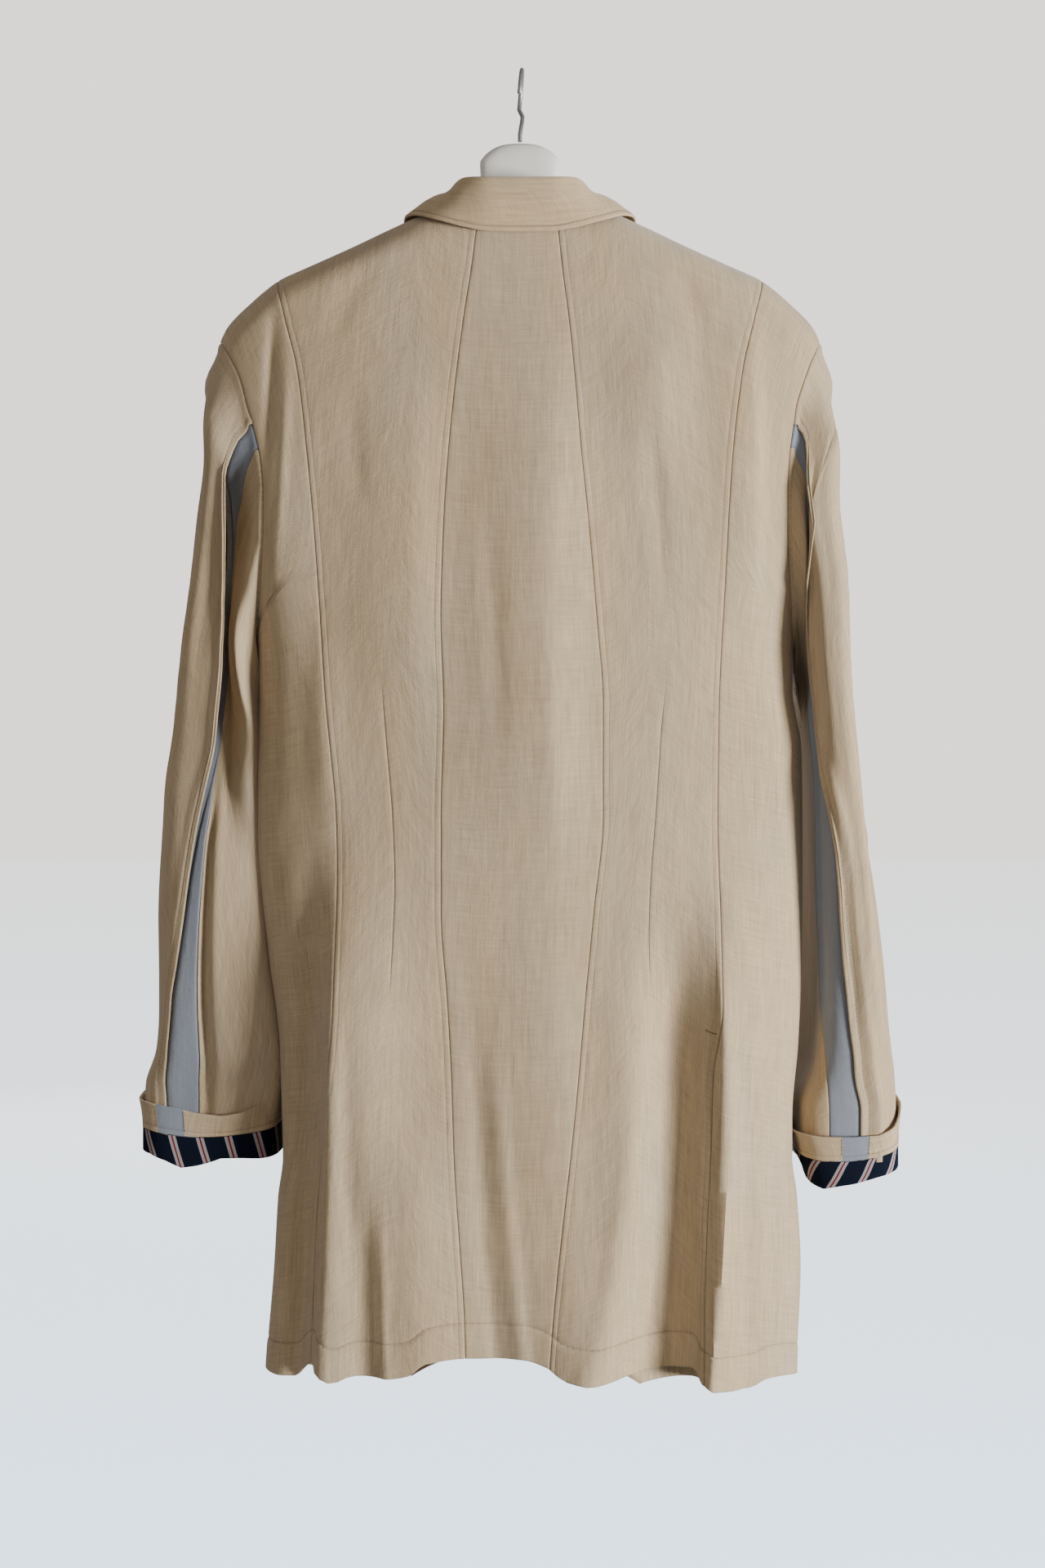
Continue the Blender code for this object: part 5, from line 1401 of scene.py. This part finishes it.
def collar_guides(side):
    """Rows from the centre back to the gorge, each of eight guide places from the neck seam to the edge."""
    share = np.linspace(0.0, 1.0, 60)
    fold = np.stack([along(COLLAR, "fold_" + axis, share) for axis in "xyz"], axis=-1)
    fold[:, 0] *= side
    roll, swell, behind = (along(COLLAR, name, share) for name in ("roll", "swell", "edge_behind"))
    edge_x = side * along(COLLAR, "edge_x", share)
    edge_z = along(SHOULDER, "height", np.abs(edge_x)) - ridge_drop(np.abs(behind))
    neck_x = along(COLLAR_NECK, "across", share)
    neck_z = along(SHOULDER, "height", neck_x) - NECK_DROP * (1 - (neck_x / NECK_HALF_WIDTH) ** 2)
    # In front, the neck seam follows the front's edge over the ridge's round and down to the gorge.
    wrap = np.clip((share - FRONT_START) / (1 - FRONT_START), 0, 1) * COLLAR_FRONT
    front_z = along(SHOULDER, "height", NECK_HALF_WIDTH) - ridge_drop(wrap)
    front_x = along(FRONT_EDGE, "edge", front_z) - LAPEL_ROLL
    guides = []
    for i in range(len(share)):
        edge, out = on_body(edge_x[i], edge_z[i], 1 if behind[i] > 0 else -1)
        edge = edge + out * COLLAR_LIFT
        if share[i] <= FRONT_START:
            neck = on_body(side * neck_x[i], neck_z[i], 1)[0] + (0, 0, COLLAR_SEAM_RISE)
        else:
            neck = on_body(side * front_x[i], front_z[i], -1)[0]
        rise = unit(fold[i] - neck)
        away = edge - fold[i]
        away = unit(away - rise * np.dot(away, rise))
        start = fold[i] - away * roll[i]
        end = fold[i] + away * roll[i] - rise * 0.3 * roll[i]
        bulge = unit(rise + away) * swell[i]
        row = [neck, neck + (start - neck) * 0.5, start - rise * 0.8 * roll[i], fold[i]]
        row += [end - rise * 0.5 * roll[i]]
        for part in (0.3, 0.65, 1.0):
            row.append(end + (edge - end) * part + bulge * np.sin(np.pi * min(part, 0.97)) ** 0.8)
        guides.append(row)
    return np.array(guides)


def curved_rows(guides, places):
    """Each row of guides read on a smooth curve through them, at places counted in guides."""
    before = np.concatenate([guides[:, :1], guides[:, :-1]], axis=1)
    after = np.concatenate([guides[:, 1:], guides[:, -1:]], axis=1)
    tangents = (after - before) / 2
    at = np.clip(places, 0.0, guides.shape[1] - 1.0001)
    first = at.astype(int)
    share = (at - first)[None, :, None]
    start, end = guides[:, first], guides[:, first + 1]
    lead, trail = share * (1 - share) ** 2, share * share * (share - 1)
    curve = tangents[:, first] * lead + tangents[:, first + 1] * trail
    return start + (end - start) * smooth(share) + curve


guides = np.concatenate([collar_guides(-1)[1:][::-1], collar_guides(1)])
# Closer places round the fold and beside the edge, where the stitches lie 5 mm in.
fall_places = np.concatenate([
    np.linspace(0.0, 2.0, 9), np.linspace(2.12, 5.0, 22), np.linspace(5.1, 6.62, 16),
    (6.7, 6.78, 6.86, 6.93, 6.975, 7.0),
])
collar_points = curved_rows(guides, fall_places)
towards = np.zeros(collar_points.shape)
outside = fall_places > 4.5
towards[:, outside, 1] = np.sign(collar_points[:, outside, 1])
towards[:, outside, 2] = 1.0
collar_out = grid_normals(collar_points, towards)
STITCH_COLUMN = int(np.argmin(np.abs(fall_places - 6.70)))
stitch_out = collar_out[:, STITCH_COLUMN].copy()
collar_stitch_line = collar_points[:, STITCH_COLUMN] + stitch_out * 0.0001, stitch_out
collar_points[:, STITCH_COLUMN] -= stitch_out * 0.0002
# Painted shade darkens the collar along its stitched line.
collar_out = with_painted_seam_shade(collar_out, np.arange(len(fall_places)) == STITCH_COLUMN)
collar_points[:, -1] -= collar_out[:, -1, :3] * 0.0005
collar_points[:, -2] -= collar_out[:, -2, :3] * 0.0001
collar_points, collar_out = turned(
    collar_points, collar_out, "last", ((0.0, 0.5), (0.3, 1.0), (1.2, 1.3), (2.4, 1.4)),
)
# The collar's linen is a lighter, warmer copy of the body's linen.
COLLAR_LINEN = woven("lighter warmer collar linen", (0.50, 0.365, 0.215))
collar = make_cloth("collar_folded", collar_points, COLLAR_LINEN, collar_out, start=(17.0, 0.3))
collar_stitches = make_stitches("collar_stitches", (collar_stitch_line,))
finish_piece(collar, "linen", "collar")


# The buttons. Three horn-effect buttons 20 mm across with four holes, sewn to the left front's lap with
# linen thread, one over each worked buttonhole.

BUTTON_HEIGHTS = (-0.452, -0.562, -0.672)
BUTTON_RADIUS = 0.010
BUTTON_THICKNESS = 0.0035
BUTTON_HOLE = 0.0009
HOLE_PLACE = 0.0016
# The buttonhole: half its length, how far it shows past the button, and half a stitch across it.
SLIT_HALF, SLIT_PAST, SLIT_STITCH = 0.013, 0.002, 0.0014
# Each step in from the button's edge, and how far the middle is then let down.
BUTTON_STEPS = ((0.0016, 0.0), (0.0010, 0.0009), (0.0016, 0.0002))


def make_button():
    """A disc with a raised rim and a dished middle, drilled with four holes. It lies flat at the origin."""
    bpy.ops.mesh.primitive_cylinder_add(
        vertices=40, radius=BUTTON_RADIUS, depth=BUTTON_THICKNESS, location=(0, 0, BUTTON_THICKNESS / 2)
    )
    button = bpy.context.object
    bpy.ops.object.transform_apply(location=True, rotation=True, scale=True)
    for face in button.data.polygons:
        face.select = face.normal.z > 0.9
    bpy.ops.object.mode_set(mode="EDIT")
    bpy.ops.mesh.select_mode(type="FACE")
    for width, dish in BUTTON_STEPS:
        bpy.ops.mesh.inset(thickness=width)
        bpy.ops.transform.translate(value=(0, 0, -dish))
    bpy.ops.object.mode_set(mode="OBJECT")
    rim = button.modifiers.new("Rim", "BEVEL")
    rim.width = 0.0006
    rim.segments = 3
    rim.angle_limit = np.radians(50)
    bpy.ops.object.modifier_apply(modifier=rim.name)
    for across, up in ((1, 1), (-1, 1), (-1, -1), (1, -1)):
        bpy.ops.mesh.primitive_cylinder_add(
            vertices=16, radius=BUTTON_HOLE, depth=0.02, location=(across * HOLE_PLACE, up * HOLE_PLACE, 0)
        )
        drill = bpy.context.object
        bpy.context.view_layer.objects.active = button
        hole = button.modifiers.new("Hole", "BOOLEAN")
        hole.object = drill
        hole.operation = "DIFFERENCE"
        bpy.ops.object.modifier_apply(modifier=hole.name)
        bpy.data.objects.remove(drill)
    bpy.ops.object.select_all(action="DESELECT")
    button.select_set(True)
    bpy.ops.object.shade_smooth_by_angle(angle=np.radians(35))
    return button


button = make_button()
button.data.materials.append(
    worn("horn-effect button", (0.085, 0.055, 0.035), 0.28, size=260.0, spread=0.5, bump=0.02)
)
pattern = np.array([vert.co for vert in button.data.vertices])
for number, height in enumerate(BUTTON_HEIGHTS, 1):
    piece = button if number == 1 else bpy.data.objects.new("button", button.data.copy())
    if number > 1:
        bpy.context.scene.collection.objects.link(piece)
    piece.name = "front_button_%d" % number
    place, out = on_body(0.0, height, -1, 1)
    across = unit(np.cross((0.0, 0.0, 1.0), out))
    up = np.cross(out, across)
    base = place + out * (CLOTH / 2 + 0.0003)
    placed = base + pattern @ np.stack([across, up, out])
    piece.data.vertices.foreach_set("co", placed.ravel())
    piece.data.update()
    finish_piece(piece, "button_horn", "button_%d" % number)
    # Thread crosses the dished middle twice, and a worked buttonhole shows beyond the button.
    top = base + out * (BUTTON_THICKNESS - 0.0012)
    crossing = []
    for way in (across, -across):
        ends = top + (way + up) * HOLE_PLACE, top + (way - up) * HOLE_PLACE
        for aside in (-0.0003, 0.0003):
            crossing.append((np.array(ends) + way * aside, np.array([out, out])))
    make_stitches("button_thread_%d" % number, crossing, length=0.0040, step=0.0032, size=0.0005)
    worked = []
    for along_slit in np.linspace(-SLIT_HALF, SLIT_HALF, 44):
        middle, way = on_body(along_slit - SLIT_PAST, height, -1, 1)
        ends = middle - up * SLIT_STITCH, middle + up * SLIT_STITCH
        worked.append((np.array(ends), np.array([way, way])))
    make_stitches("buttonhole_%d" % number, worked, length=0.0028, step=0.0028, size=0.0005)


# The studio. A plain floor whose pale look is painted light, and air, soft light like a large window to the
# right, and the camera behind the blazer.


def seen_and_cast(tree, seen, cast):
    """A brightness that the camera sees and another one that lights the rest."""
    path = add_node(tree, "ShaderNodeLightPath").outputs["Is Camera Ray"]
    return add_node(tree, "ShaderNodeMix", {"data_type": "FLOAT"}, _0=path, _2=cast, _3=seen).outputs[0]


FLOOR_SIZE, FLOOR_HEIGHT = 40.0, -1.30
bpy.ops.mesh.primitive_plane_add(size=FLOOR_SIZE, location=(0.0, 0.0, FLOOR_HEIGHT))
floor = bpy.context.object
floor.name = "studio_floor"
floor_material, floor_tree, floor_shader = own_material("floor with painted light", (0.30, 0.31, 0.32), 1.0)
# The floor's look is painted light that only the camera sees: far off as bright as the air behind it, and
# near by a painted pool of light, a little brighter and bluer.
floor_place = add_node(floor_tree, "ShaderNodeTexCoord").outputs["Object"]
floor_depth = add_node(floor_tree, "ShaderNodeSeparateXYZ", Vector=floor_place).outputs["Y"]
floor_near = add_maths(floor_tree, "DIVIDE", 2.06, add_maths(floor_tree, "SUBTRACT", 1.7, floor_depth))
floor_painted_light = add_mixed(floor_tree, floor_near, (0.62, 0.60, 0.575, 1), (0.66, 0.83, 1.0, 1))
floor_seen = seen_and_cast(floor_tree, 2.6, 0.0)
connect(floor_tree, floor_shader.inputs, Emission_Color=floor_painted_light, Emission_Strength=floor_seen)
floor.data.materials.append(floor_material)

world = bpy.data.worlds.new("studio")
world.use_nodes = True
air = world.node_tree.nodes["Background"]
air.inputs["Color"].default_value = (1.0, 0.955, 0.91, 1)
connect(world.node_tree, air.inputs, Strength=seen_and_cast(world.node_tree, 1.75, 0.33))
bpy.context.scene.world = world


def add_light(name, place, aim, size, power, colour):
    light = bpy.data.lights.new(name, "AREA")
    light.size = size
    light.energy = power
    light.color = colour
    lamp = bpy.data.objects.new(name, light)
    bpy.context.scene.collection.objects.link(lamp)
    lamp.location = place
    lamp.rotation_euler = (Vector(place) - Vector(aim)).to_track_quat("Z", "Y").to_euler()


add_light("window", (-3.6, 2.0, -0.9), (0.0, 0.0, -0.6), 1.0, 410.0, (0.95, 0.98, 1.0))
add_light("room", (2.6, 3.2, -0.3), (0.1, 0.0, -0.5), 2.4, 22.0, (1.0, 0.96, 0.90))
add_light("front", (0.6, -3.4, 0.4), (0.0, 0.0, -0.5), 2.0, 60.0, (1.0, 1.0, 1.0))

camera = bpy.data.objects.new("camera", bpy.data.cameras.new("camera"))
bpy.context.scene.collection.objects.link(camera)
camera.location = (-0.002, 1.71, -0.558)
camera.rotation_euler = (np.radians(90), 0.0, np.radians(180))
camera.data.lens = 50.0
camera.data.sensor_fit = "VERTICAL"
camera.data.sensor_height = 36.0
bpy.context.scene.camera = camera
